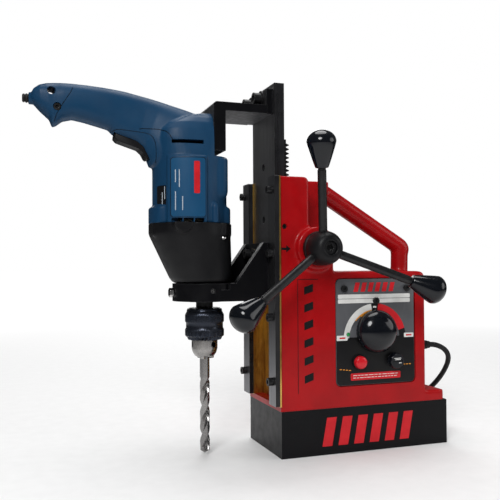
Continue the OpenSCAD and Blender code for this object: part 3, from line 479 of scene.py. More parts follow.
def bevelled(node, body, look, width):
    """A copy of a CAD node with its sharp edges rounded. It stands for the node."""
    source = frame["nodes"][node]
    piece = bpy.data.objects.new(node + "_finished", source.data.copy())
    bpy.context.scene.collection.objects.link(piece)
    bm = bmesh.new()
    bm.from_mesh(piece.data)
    bmesh.ops.remove_doubles(bm, verts=bm.verts, dist=1e-6)
    bmesh.ops.dissolve_limit(bm, angle_limit=math.radians(1.0), verts=bm.verts, edges=bm.edges,
                             delimit={"NORMAL"})
    bm.to_mesh(piece.data)
    bm.free()
    bevel = piece.modifiers.new("bevel", "BEVEL")
    bevel.width, bevel.segments = width * MM, 2
    bevel.limit_method, bevel.angle_limit = "ANGLE", math.radians(35.0)
    bevel.use_clamp_overlap, bevel.miter_outer = True, "MITER_ARC"
    apply(piece)
    dressed(piece, body, look, 40.0)
    even = piece.modifiers.new("even", "WEIGHTED_NORMAL")     # keeps flat faces flat beside rounded edges
    even.keep_sharp = True
    apply(piece)
    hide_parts(node)
    return piece


def two_looks(piece, second, chosen):
    """Gives the faces that pass a test another finish."""
    piece.data.materials.append(second)
    for face in piece.data.polygons:
        if chosen(face.normal, face.center / MM):
            face.material_index = 1


def groove(piece, name, points, width):
    """A narrow seam cut along a line on the drill's near side, with a black strip sunk in it as painted shade.
    Points are X and Z.
    """
    mesh = piece.data
    tree = BVHTree.FromPolygons([v.co for v in mesh.vertices], [f.vertices for f in mesh.polygons])
    line = []
    for p in smooth_line([(x, 0, z) for x, z in points], 5):
        hit = tree.ray_cast(Vector((p.x, -90, p.z)) * MM, Vector((0, 1, 0)))[0]
        if hit is not None:
            line.append(hit / MM + Vector((0, 0.1, 0)))
    bm = bmesh.new()
    rings = []
    for a, b, c in zip([line[0]] + line, line, line[1:] + [line[-1]]):
        along = (c - a).normalized()
        across = along.cross(Vector((0, 1, 0))).normalized()
        out = across.cross(along)
        rings.append([b + (across * math.cos(math.radians(t)) + out * math.sin(math.radians(t))) * width
                      for t in range(0, 360, 60)])
    loft(bm, rings)
    cut(piece, bm)
    # a thinner black strip sunk in the groove's bottom: painted shade in the seam
    bm = bmesh.new()
    loft(bm, [[centre + (p - centre) * 0.6 + Vector((0, 0.35 * width, 0)) for p in ring]
              for ring in rings for centre in [sum(ring, Vector()) / len(ring)]])
    made(name, bm, "ram", BLACK_NYLON)


def painted(node, look):
    """A CAD node that keeps its own shape and gets a finish."""
    thing = frame["nodes"][node]
    thing.data.materials.clear()
    thing.data.materials.append(look)


# ---------------------------------------------------------------- mains lead
CORD_R = 3.0
COIL_TURNS, COIL_STEPS = 7.375, 40
COIL_X, COIL_Y, COIL_OUT, COIL_IN = 45.0, 112.0, 42.0, 24.0
# from the strain relief's end down to the coil, as in the CAD source
LEAD = [(97, -20, 107), (104, -20, 106.4), (112, -19.5, 104), (120, -18, 99.5), (127, -14, 92.5),
        (131.5, -7, 83.5), (134, 3, 73), (135, 15, 61.5), (133.5, 28, 49.5), (130, 42, 37.5), (124, 55, 26),
        (116, 67, 16), (107, 78, 8.5), (98, 89, 4.2), (91, 100, 3), (87.4, 106, 3), (87, 112, 3)]
TAIL = [(15.3, 141.7, 9), (11, 137.4, 9.6), (6.6, 133, 11), (2.3, 128.7, 12), (-2, 124.4, 12.5)]


def smooth_line(points, per=6):
    """A curve through the points."""
    pts = [Vector(p) for p in points]
    pts = [pts[0] * 2 - pts[1]] + pts + [pts[-1] * 2 - pts[-2]]
    out = []
    for a, b, c, d in zip(pts, pts[1:], pts[2:], pts[3:]):
        for k in range(per):
            t = k / per
            out.append(0.5 * ((2 * b) + (c - a) * t + (2 * a - 5 * b + 4 * c - d) * t * t
                              + (3 * b - a - 3 * c + d) * t ** 3))
    return out + [pts[-2]]


def coil_turn(turn, share):
    """Radius and height of the coil: three turns inwards, one that climbs, then outwards on top of them."""
    if turn < 3:
        return COIL_OUT - 2 * CORD_R * (turn + share), CORD_R
    if turn == 3:
        return COIL_IN - 1.5 * math.sin(math.pi * share), CORD_R * (1 + 2 * math.sin(math.pi * share / 2))
    return min(COIL_OUT, COIL_IN + 2 * CORD_R * (turn - 4 + math.sin(math.pi * share / 2))), 3 * CORD_R


def lead_points():
    line = smooth_line(LEAD)[:-1]
    for k in range(int(COIL_TURNS * COIL_STEPS)):
        r, z = coil_turn(k // COIL_STEPS, (k % COIL_STEPS) / COIL_STEPS)
        a = 2 * math.pi * k / COIL_STEPS
        line.append(Vector((COIL_X + r * math.cos(a), COIL_Y + r * math.sin(a), z)))
    return line + smooth_line(TAIL)


def mains_lead():
    line = lead_points()
    curve = bpy.data.curves.new("mains_lead", "CURVE")
    curve.dimensions, curve.bevel_depth, curve.bevel_resolution = "3D", CORD_R * MM, 4
    curve.use_fill_caps = True
    spline = curve.splines.new("POLY")
    spline.points.add(len(line) - 1)
    for point, place in zip(spline.points, line):
        point.co = (*(place * MM), 1.0)
        point.radius = 1.0
    spline.use_smooth = True
    lead = bpy.data.objects.new("mains_lead", curve)
    bpy.context.scene.collection.objects.link(lead)
    curve.materials.append(RUBBER)
    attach(lead, "stand")
    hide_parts("mains_cord", "cord_coil")
    length = sum((b - a).length for a, b in zip(line, line[1:])) * MM
    return lead, length


def ring_at(centre, across, upward, half_a, half_b, power, count):
    """A superellipse of points round a centre, in the plane of two directions."""
    return [Vector(centre) + Vector(across) * a + Vector(upward) * b
            for a, b in oval(0, 0, half_a, half_b, count, power)]


def mains_plug():
    start = Vector(TAIL[-1])
    along = Vector((-1, -1, 0)).normalized()
    across = Vector((-along.y, along.x, 0))
    up = Vector((0, 0, 1))
    shape = [(-3, 3.3, 2.0), (-2.5, 4.2, 2.0)]
    for k in range(4):                                   # ribs of the strain relief
        shape += [(3.2 * k, 4.5 + 0.5 * k, 2.0), (3.2 * k + 1.6, 4.6 + 0.5 * k, 2.0),
                  (3.2 * k + 1.9, 3.9 + 0.5 * k, 2.0), (3.2 * k + 2.9, 3.9 + 0.5 * k, 2.0)]
    shape += [(14, 7.5, 2.2), (16, 10.0, 2.6), (19, 11.6, 3.2), (23, 12.0, 4.0), (27, 11.4, 4.0),
              (31, 11.4, 4.0), (35, 12.0, 4.0), (38.5, 12.0, 4.0), (39.6, 11.6, 4.0), (40, 11.0, 4.0)]
    body = single("plug_body", "stand", RUBBER, SMOOTH, loft,
                  [ring_at(start + along * t, across, up, r, r, power, 40) for t, r, power in shape])
    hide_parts("mains_plug")
    bm = bmesh.new()
    for side in (-6, 6):
        lathe(bm, [(2.0, 39), (2.0, 55), (1.6, 56.4), (0.8, 57)], start + across * side, along, 24)
    pins = made("plug_pins", bm, "stand", BRIGHT_STEEL)
    return body, pins


def coil_tie():
    """A soft strap round all the turns of the coil, on the side towards the stand."""
    angle = math.radians(250)
    out = Vector((math.cos(angle), math.sin(angle), 0))
    side = Vector((-out.y, out.x, 0))
    inner, outer, top, thick = COIL_IN - 4.6, COIL_OUT + 3.2, 4 * CORD_R + 0.5, 0.8
    loop = rounded(rect(inner, outer, 0.2, top), 3.0)
    hollow = rounded(rect(inner + thick, outer - thick, 1.0, top - thick), 2.4)
    tie = single("coil_tie", "stand", RUBBER, SMOOTH, hoop, [
        [Vector((COIL_X, COIL_Y, 0)) + out * r + Vector((0, 0, z)) + side * half for r, z in line]
        for half, line in ((-5, loop), (5, loop), (5, hollow), (-5, hollow))])
    return tie


lead, lead_length = mains_lead()
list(mains_plug())
coil_tie()


# ---------------------------------------------------------------- places in the frame, and the drill's sizes
BASE_LO, BASE_HI = span("magnet_core")
CAST_LO, CAST_HI = span("stand_casting")
COVER_LO, COVER_HI = span("rear_cover")
PANEL_LO, PANEL_HI = span("control_panel")
SLIDE_HALF = span("slide_plate")[1].y
LEG_X = span("top_bracket")[0].x
SPINDLE_X = middle("spindle_gear").x
MOTOR_X = middle("cooling_fan").x
FEED = middle("hub_screw")
PANEL = middle("control_panel")
KNOB = middle("switch_knob")
BUTTON = middle("push_button")
FUSE = middle("fuse_holder")
LAMP = middle("indicator_lamp")
FRONT = 48.0                                 # the casting's flat sides stand at -FRONT and +FRONT
COLUMN_RIGHT = CAST_LO.x + 33.5
BOX_RIGHT = COVER_HI.x + 2.2
BOX_TOP = COVER_HI.z + 2.2
FOOT_TOP = BASE_HI.z + 11
PANEL_FACE = PANEL_LO.y
BORE_R = 17.0
BOSS_R = BORE_R + 6
SHELL_LOW = 244.0                            # where the motor housing meets the gear case
BARREL_R = 39.3
LABEL_R = 42.4                               # raised field on the barrel
FLARE_R = 43.3                               # the barrel's lower end, at the left and right


# ---------------------------------------------------------------- red stand casting
def stand_casting():
    """The column, control box, foot, bearing boss and carrying handle, cast in one and then machined."""
    left, right, top, low = CAST_LO.x, COLUMN_RIGHT, CAST_HI.z, BASE_HI.z
    over = 8.0                                   # cast past the faces that are machined flat afterwards
    bm = bmesh.new()
    for x0, x1, high, corner in ((left - over, right, top, 6), (right - 8, BOX_RIGHT, BOX_TOP, 8)):
        prism(bm, rounded(rect(x0, x1, low - over, high), [0, 0, corner, 0], 8), -FRONT, FRONT)
    foot = rounded(rect(BOX_RIGHT - 20, BASE_HI.x - 2, -FRONT, FRONT), [0, 5, 5, 0], 8)
    loft(bm, [[(x, y, z) for x, y in foot] for z in (low - over, FOOT_TOP)])
    # shoulder that carries the feed shaft, with a round boss on its face
    shoulder = [(right - 8, BOX_TOP - 6), (FEED.x + BOSS_R - 2, BOX_TOP - 6), (FEED.x + BOSS_R - 1, FEED.z)]
    shoulder += arc(FEED.x, FEED.z, BOSS_R - 1, range(10, 91, 10))
    prism(bm, shoulder + [(right - 8, FEED.z + BOSS_R + 2)], -FRONT, FRONT)
    lathe(bm, [(BOSS_R, 0), (BOSS_R, FRONT + 54.5)], (FEED.x, -54.5, FEED.z), (0, 1, 0), 96)
    # web below the handle, then the round handle
    grip_top, grip_bend = (-29.0, 282.0), (BOX_RIGHT - 4, 220.5)
    web = [(right - 4, BOX_TOP - 4), (right - 4, top), (grip_top[0] + 2, top),
           (grip_top[0] - 2, grip_top[1] - 12), (right + 33, grip_top[1] - 16), (right + 32, FEED.z + 22),
           (right + 36, BOX_TOP + 8), (right + 46, BOX_TOP - 4)]
    prism(bm, web, -15, 15)
    path = [(right, 282.0), grip_top]
    for t in range(1, 8):                        # the bend, as an arc between the bar and its post
        turn = math.radians(24 + 8 * t)
        path.append(tuple(Vector(grip_bend) + 6 * Vector((math.sin(turn) - 0.6, math.cos(turn) - 0.6))))
    path += [(grip_bend[0] + 0.6, grip_bend[1] - 6), (grip_bend[0], BOX_TOP - 4)]
    for a, b in zip(path, path[1:]):
        start, end = Vector((a[0], 0, a[1])), Vector((b[0], 0, b[1]))
        lathe(bm, [(10, 0), (10, (end - start).length)], start, end - start, 40)
        knuckle = [(0.5, -10), (5, -8.7), (8.7, -5), (10, 0), (8.7, 5), (5, 8.7), (0.5, 10)]
        lathe(bm, knuckle, end, (0, 1, 0), 32)
    casting = made("stand_casting_finished", bm, None, RED)
    fused(casting, 1.35, 18)
    back, half = span("channel_liners")[1].x, SLIDE_HALF + 1.6
    for lo, hi in (((left - 40, -90, low - 40), (left, 90, top + 40)),
                   ((left - 40, -90, low - 40), (BASE_HI.x + 40, 90, low)),
                   ((left - 5, -half, low + 5.5), (back, half, top + 5)),
                   ((back - 1, -11, low + 5.5), (span("gear_rack")[1].x + 0.5, 11, top + 5))):
        take(casting, block, lo, hi)
    take(casting, lathe, [(BORE_R, -8), (BORE_R, 2 * FRONT + 12)], (FEED.x, -FRONT - 2, FEED.z), (0, 1, 0), 96)
    # control box, with its panel recess and window
    take(casting, block, (COLUMN_RIGHT + 6, PANEL_HI.y + 4, low + 6), (BOX_RIGHT - 6, FRONT + 5, BOX_TOP - 6))
    take(casting, block, (PANEL_LO.x + 7, -FRONT - 5, PANEL_LO.z + 7),
         (PANEL_HI.x - 7, PANEL_HI.y + 5, PANEL_HI.z - 7))
    take(casting, prism, rounded(rect(PANEL_LO.x - 1, PANEL_HI.x + 1, PANEL_LO.z - 1, PANEL_HI.z + 1), 7, 8),
         -FRONT - 5, PANEL_HI.y)
    seat = rect(COVER_LO.x - 0.2, COVER_HI.x + 0.2, COVER_LO.z - 0.2, COVER_HI.z + 0.2)
    take(casting, prism, rounded(seat, 3), FRONT - 3, FRONT + 5)
    drilled = bmesh.new()
    lock = middle("gib_lock_screw")
    lathe(drilled, [(3.4, 0), (2.6, 1.6), (2.6, 14)], (lock.x, -FRONT - 0.6, lock.z), (0, 1, 0), 32)
    gland = middle("cord_gland")
    lathe(drilled, [(5.2, 0), (5.2, 12)], (BOX_RIGHT - 8, gland.y, gland.z), (1, 0, 0), 32)
    for x in (COLUMN_RIGHT + 4, BOX_RIGHT - 4):
        for z in (low + 12, BOX_TOP - 14):
            lathe(drilled, [(1.7, 0), (1.7, 16)], (x, FRONT - 14, z), (0, 1, 0), 20)
    cut(casting, drilled)
    dressed(casting, "stand", RED, 38)
    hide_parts("stand_casting")


# ---------------------------------------------------------------- drill housing
def section(x0, x1, half, z, power):
    """A level section of the motor housing."""
    return [(x, y, z) for x, y in oval((x0 + x1) / 2, 0, (x1 - x0) / 2, half, 48, power)]


def handle_section(top, low, half):
    """A section across the handle, between a point on its back and one on its underside."""
    a, b = Vector((top[0], 0, top[1])), Vector((low[0], 0, low[1]))
    return ring_at((a + b) / 2, (0, 1, 0), (a - b).normalized(), half, (a - b).length / 2, 2.7, 48)


TRIGGER_TILT = math.radians(30.7)
TRIGGER = [(-264.5, 335), (-265, 330.5), (-262, 327.5), (-240, 320.5), (-235, 316), (-231.6, 309.5),
           (-228.6, 311), (-230, 319), (-236, 328.5), (-240, 331.5), (-241, 337), (-258, 341)]
# sections along the handle: a point on its back, one on its underside, and half its width
HANDLE = [
    ((-346.8, 369), (-346.2, 365), 6), ((-343.5, 376), (-343.6, 361.5), 11), ((-338, 380), (-337, 354.5), 15),
    ((-331, 382), (-328, 346.5), 16.3), ((-326, 382.6), (-325.4, 339.4), 16.2),
    ((-321, 383), (-322, 340.4), 16.4), ((-315, 383.2), (-315.4, 345.6), 16.8), ((-306, 383.2), (-306, 348), 17),
    ((-292, 382.8), (-294, 345.8), 17), ((-276, 381.8), (-279, 342), 17), ((-264, 380.6), (-270, 339.6), 17),
    ((-254, 379.4), (-264, 333.4), 17), ((-242, 377), (-254, 330.2), 17), ((-230, 374.6), (-243, 326.8), 17.4),
    ((-216, 371.2), (-236, 321.6), 19), ((-203, 367.6), (-231, 312.6), 22), ((-192, 364.6), (-227, 303), 25),
    ((-180, 361), (-204, 300), 26)]
SEAMS = {
    "seam_shoulder": ([(-241, 339.5), (-235.5, 339.8), (-221.9, 339.2), (-215, 335.9), (-210.8, 329.6),
                       (-210.4, 327)], 0.45),
    "seam_trigger": ([(-270.6, 335), (-263.2, 338.2), (-246.7, 337), (-231.5, 334.5), (-225.6, 327),
                      (-224.2, 314.8), (-224.2, 306)], 0.4),
    "seam_end_cap": ([(-306.5, 377), (-309, 371.4), (-315.4, 361.3), (-321.5, 350.5), (-324, 343)], 0.4),
}


def drill_housing():
    right = LEG_X

    def flare(angle, radius, t):
        """The barrel widens at its lower end, at the left and right only."""
        side = min(1.0, max(0.0, (abs(math.cos(angle)) - 0.78) / 0.1))
        return radius + (FLARE_R - BARREL_R) * side * min(1.0, max(0.0, (19 - t) / 3))

    bm = bmesh.new()
    rows = [(BARREL_R, t) for t in (0, 6, 12, 15, 16, 17, 18, 19, 21, 40, 60)]
    lathe(bm, rows, (MOTOR_X, 0, SHELL_LOW), (0, 0, 1), 144, flare)
    x0, x1 = -215, -176.2                                 # raised field for the label
    columns = [(x0 + (x1 - x0) * k / 16) for k in range(17)]
    outline = [(x, -math.sqrt(LABEL_R * LABEL_R - (x - MOTOR_X) ** 2)) for x in columns]
    outline += [(x1, -20), (x0, -20)]
    loft(bm, [[(x, y, z) for x, y in outline] for z in (SHELL_LOW, 311.5)])
    left, far = MOTOR_X - BARREL_R, MOTOR_X + BARREL_R
    loft(bm, [section(left, far, half, z, power) for z, half, power in (
        (290, 39.2, 2.0), (300, 38.9, 2.1), (311, 38.2, 2.3), (321, 37, 2.6), (331, 35.8, 3.0))]
         + [section(left + 2, far, 34.4, 340, 3.2), section(left + 9, far, 32, 347.5, 3.2),
            section(left + 21, far, 28, 353.5, 3.2), section(left + 35, far, 22, 358, 3.2),
            section(left + 42, far, 17, 360, 3.2)])
    loft(bm, [handle_section(*s) for s in HANDLE])
    spine = [(0.4, 0), (5, 1.2), (8, 4.5), (9, 9), (9, 43)]
    lathe(bm, spine, (MOTOR_X + 25.5, -25, 268), (0, 0, 1), 32)
    lathe(bm, [(4, 0), (4, 17), (3, 19.5), (0.4, 21)], (MOTOR_X + 17.5, -36.6, SHELL_LOW), (0, 0, 1), 24)
    lathe(bm, [(6, 0), (6, 4)], (-348, 0, 366.5), (1, 0, 0), 32)
    shell = made("drill_shell", bm, None, BLUE)
    fused(shell, 0.95, 6, kept=0.3)
    take(shell, block, (right, -90, 313), (-100, 90, 400))
    take(shell, block, (-300, -90, 200), (-100, 90, SHELL_LOW))
    for name, (points, width) in SEAMS.items():
        groove(shell, name, points, width)
    take(shell, lathe, [(BARREL_R - 3.3, 0), (BARREL_R - 3.3, 75)], (MOTOR_X, 0, SHELL_LOW - 1), (0, 0, 1), 96)
    room = [(-318, 378.5), (-318, 352.5), (-303, 352), (-268, 344), (-259, 337), (-240, 331), (-228, 329.5),
            (-214, 331), (right - 4, 331), (right - 4, 354), (-193, 359), (-229, 369), (-279, 376.5),
            (-300, 377.5)]
    take(shell, prism, room, -12, 12)
    cx, cz = sum(x for x, z in TRIGGER) / len(TRIGGER), sum(z for x, z in TRIGGER) / len(TRIGGER)
    for lift in (0, 3.4, 6.8):                            # the trigger's slot and its travel
        dx, dz = lift * math.sin(TRIGGER_TILT), lift * math.cos(TRIGGER_TILT)
        slot = [(cx + (x - cx) * 1.05 + dx, cz + (z - cz) * 1.08 + dz) for x, z in TRIGGER]
        take(shell, prism, slot, -9.2, 9.2)
    take(shell, lathe, [(4.8, 0), (3.5, 12), (3.5, 28), (4.8, 40)], (-327, -20, 373), (0, 1, 0), 32)
    for side in (-1, 1):                                  # on each side a long recess and three short air slots
        openings = bmesh.new()
        y0, y1 = sorted((side * 16, side * 45))
        block(openings, (-211, y0, 324.2), (-178.5, y1, 328.2))
        for k in range(3):
            y0, y1 = sorted((side * 30, side * 52))
            block(openings, (-211.5 + 10.9 * k, y0, SHELL_LOW - 1), (-201.6 + 10.9 * k, y1, SHELL_LOW + 4.2))
        cut(shell, openings)
    holes = bmesh.new()
    lathe(holes, [(4, 0), (4, 40)], (-321.5, -52, 357), (0, 1, 0), 28)
    lathe(holes, [(3.1, 0), (3.1, 40)], (right - 30, 0, 339), (1, 0, 0), 28)
    cut(shell, holes)
    for name, side in (("housing_near", -1), ("housing_far", 1)):
        half = bpy.data.objects.new(name + "_finished", shell.data.copy())
        bpy.context.scene.collection.objects.link(half)
        keep = bmesh.new()
        y0, y1 = sorted((side * 0.06, side * 90))
        block(keep, (-400, y0, 200), (-100, y1, 420))
        cut(half, keep, keep=True)
        dressed(half, "ram", BLUE, 38)
        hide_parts(name)
    bpy.data.objects.remove(shell)


def gear_housing():
    """The black gear case: a tapered barrel on the clamping neck, with screw bosses at its rim."""
    bm = bmesh.new()
    low = 182.0
    shape = [(low, SPINDLE_X - 2, 29.5), (low + 1.5, SPINDLE_X - 3, 31.5), (low + 5, SPINDLE_X - 4, 33.2),
             (low + 9, SPINDLE_X - 5, 34.2), (231, MOTOR_X + 0.6, 42.9), (234, MOTOR_X, FLARE_R),
             (SHELL_LOW, MOTOR_X, FLARE_R)]
    loft(bm, [ring_at((x, 0, z), (1, 0, 0), (0, 1, 0), r, r, 2.0, 96) for z, x, r in shape])
    lathe(bm, [(21.5, 0), (21.5, 24)], (SPINDLE_X, 0, 162), (0, 0, 1), 96)
    for x in (MOTOR_X - 38, MOTOR_X + 38):
        lathe(bm, [(3, 0), (4.5, 2), (4.5, 14)], (x, -12, SHELL_LOW - 14), (0, 0, 1), 32)
    lathe(bm, [(9.5, 0), (9.5, 11.6)], (MOTOR_X - 17, -BARREL_R - 5.4, SHELL_LOW - 1), (0, 1, 0), 48)
    lathe(bm, [(4.4, 0), (4.4, 13)], (MOTOR_X + 27, -32.2, SHELL_LOW - 13), (0, 0, 1), 32)
    case = made("gear_housing_finished", bm, None, BLACK_NYLON)
    fused(case, 0.9, 4, kept=0.3)
    take(case, block, (-300, -100, SHELL_LOW), (-100, 100, SHELL_LOW + 20))
    for r, z0, z1, x in ((24, 192, 232, SPINDLE_X - 6), (36, 232, 250, MOTOR_X), (13.1, 158, 171, SPINDLE_X),
                         (10, 170, 193, SPINDLE_X), (13.1, 184, 193, SPINDLE_X)):
        take(case, lathe, [(r, 0), (r, z1 - z0)], (x, 0, z0), (0, 0, 1), 72)
    dressed(case, "ram", BLACK_NYLON, 38)
    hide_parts("gear_housing")
    head = single("case_screw_head", "ram", BRIGHT_STEEL, SMOOTH, lathe,
                  [(3.0, 0), (3.2, 0.4), (3.2, 1.6), (2.8, 2.1)],
                  (MOTOR_X + 27, -33.8, SHELL_LOW - 14.6), (0, 0, -1), 32)


# ---------------------------------------------------------------- chuck and drill bit
def chuck():
    sleeve_low, sleeve_high = span("chuck_sleeve")
    r, tall, core, count = (sleeve_high.x - sleeve_low.x) / 2, sleeve_high.z - sleeve_low.z, 14.7, 432

    def gear_teeth(angle, radius, t):
        """Bevel teeth round the sleeve's lower rim and fine ribs on its grip bands."""
        if radius > core + 1 and t < 4.7:
            return max(core + 0.2, radius - 4.4 * (1 - t / 5) * abs(2 * ((13 * angle / math.pi) % 1) - 1))
        if radius > r - 0.3 and not 11.2 < t < 18.8:
            return radius - 0.45 * (0.5 + 0.5 * math.cos(72 * angle))
        return radius

    profile = [(core, 0), (r - 3.2, 0), (r - 2.7, 1.2), (r - 2.1, 2.5), (r - 2.0, 3.1), (r - 1.2, 3.2),
               (r - 0.5, 3.9), (r - 0.1, 4.6), (r - 0.05, 5.0), (r - 0.05, 10.8), (r - 0.4, 11.3),
               (r - 1.1, 12.6), (r - 1.1, 17.6), (r - 0.4, 18.9), (r - 0.05, 19.4), (r - 0.05, tall - 4.2),
               (r - 0.5, tall - 3.2), (r - 2.0, tall - 0.4), (r - 2.6, tall), (core, tall), (core, tall - 3),
               (17.4, tall - 3.2), (17.4, 2.1), (core, 1.9)]
    angles = [2 * math.pi * k / count for k in range(count)]
    sleeve = single("chuck_sleeve_finished", "chuck_sleeve", SLEEVE_BLACK, 30, hoop, [
        [(SPINDLE_X + gear_teeth(a, radius, t) * math.cos(a), gear_teeth(a, radius, t) * math.sin(a),
          sleeve_low.z + t) for a in angles] for radius, t in profile])
    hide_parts("chuck_sleeve")


def drill_bit():
    """A twist drill: two flutes, narrow margins, a 118 degree point and a plain shank."""
    low, high = span("drill_bit")
    r, slope = 5.25, math.tan(math.radians(59))
    flutes_to, fade = 82.0, 9.0
    point = r / slope
    count = 72

    def ring(z, size, depth, height=None):
        turn = math.radians(480) * (min(z, flutes_to + 2) - low.z) / (flutes_to - low.z)
        out = []
        for k in range(count):
            a = 2 * math.pi * k / count
            half = (a % math.pi) / math.pi                # one flute and one land in each half turn
            if half < 0.52:
                dip = math.sin(math.pi * half / 0.52) ** 0.8
                rr = r * (1 - 0.66 * depth * dip)
            elif half < 0.60:
                rr = r                                    # margin
            else:
                rr = r * (1 - 0.05 * depth)               # relieved land
            out.append((SPINDLE_X + size * rr * math.cos(a + turn), size * rr * math.sin(a + turn),
                        z if height is None else height(size * rr)))
        return out

    rings = [ring(low.z, s, 1.0, lambda q: low.z + q / slope) for s in (0.06, 0.3, 0.6, 0.85, 1.0)]
    z = low.z + point + 0.6
    while z < flutes_to:
        rings.append(ring(z, 1.0, 1.0 if z < flutes_to - fade else max(0.0, (flutes_to - z) / fade)))
        z += 0.9
    rings += [ring(flutes_to + 0.5, 1.0, 0.0), ring(high.z - 0.6, 1.0, 0.0), ring(high.z, 0.9, 0.0)]
    bit = single("twist_drill", "spindle", BIT_STEEL, 32, loft, rings)
    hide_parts("drill_bit")


# ---------------------------------------------------------------- feed handles
def feed_handles():
    """The hub's flange and rounded nose, and three leaning spokes with tapered knobs."""
    profile = [(17.2, 0), (18, 0.8), (18, 5.2), (17.4, 5.8), (16.9, 5.9), (16.9, 6.7), (17.6, 7.0), (17.9, 8.0),
               (17.9, 15), (17.5, 19), (16.6, 23), (15.2, 26.4), (13.4, 29), (11.4, 30.5), (9.4, 31), (7.9, 31),
               (7.3, 30.5), (7.2, 29.8), (7.2, 20), (0.4, 20)]
    hub = single("feed_hub_finished", "feed", BLACK_NYLON, 40, lathe,
                 profile, (FEED.x, -54.8, FEED.z), (0, -1, 0), 96)
    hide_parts("feed_hub")
    root = Vector((FEED.x, -66.8, FEED.z))
    lean = math.radians(13)
    for number, (angle, reach) in enumerate(((97, 121), (215, 133), (339, 137)), 1):
        a = math.radians(angle)
        flat = Vector((math.cos(a), 0, math.sin(a)))
        along = (flat * math.cos(lean) - Vector((0, math.sin(lean), 0))).normalized()
        length, r = 38.0, 15.0
        profile = [(5.6, -0.2), (6.4, 0), (6.9, 0.5), (7.2, 1.4)]
        profile += [(7.2 + (r - 7.2) * (t / 24) ** 0.93, 1.4 + t) for t in range(3, 23, 3)]
        profile += [(r * math.cos(math.radians(t)), length - 0.8 * r + 0.8 * r * math.sin(math.radians(t)))
                    for t in range(0, 90, 6)]
        profile += [(0.5, length)]
        knob = single(f"feed_knob_{number}", "feed", BLACK_GLOSS, 50, lathe,
                      profile, root + along * (reach - length), along, 72)
        if number == 1:
            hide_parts("feed_knobs")
        profile = [(4.5, 11), (4.5, 21), (4.5, reach - 40.5), (4.0, reach - 40), (4.0, reach - 12)]
        rod = single(f"feed_spoke_{number}", "feed", OXIDE, 40, lathe, profile, root, along, 40)
        if number == 1:
            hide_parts("feed_spokes")


# ---------------------------------------------------------------- control panel
THIN_FILM = 0.05                             # a second print that lies on the first
PANEL_SCREWS = [(PANEL.x - 38.5, PANEL.z + 46.5), (PANEL.x + 38.5, PANEL.z + 46.5), (PANEL.x, PANEL.z + 33)]


def panel_holes(piece, radii, screw, counts):
    """Opens the panel for its knob, button, fuse and lamp, and for its three screws."""
    tool = bmesh.new()
    for at, r in zip((KNOB, BUTTON, FUSE, LAMP), radii):
        lathe(tool, [(r, 0), (r, 8)], (at.x, PANEL_FACE - 4, at.z), (0, 1, 0), counts[0])
    for x, z in PANEL_SCREWS:
        lathe(tool, [(screw, 0), (screw, 8)], (x, PANEL_FACE - 4, z), (0, 1, 0), counts[1])
    cut(piece, tool)


def plate(name, outlines, lift, look, thick=0.14, holes=True):
    """Thin printed areas on the panel: each outline, in X and Z, is a film just proud of the face below."""
    bm = bmesh.new()
    for outline in outlines:
        prism(bm, outline, PANEL_FACE - lift - thick, PANEL_FACE - lift + 0.05)
    piece = made(name, bm, None, look)
    if holes:
        panel_holes(piece, (4.2, 8.3, 6.9, 2.3), 1.9, (32, 20))
    dressed(piece, "stand", look, 30)


def arc_band(inner, outer, start, end, centre, steps=24):
    """A band of a ring between two angles in degrees, anticlockwise from +X."""
    angles = [start + (end - start) * k / steps for k in range(steps + 1)]
    return arc(*centre, outer, angles) + arc(*centre, inner, list(reversed(angles)))


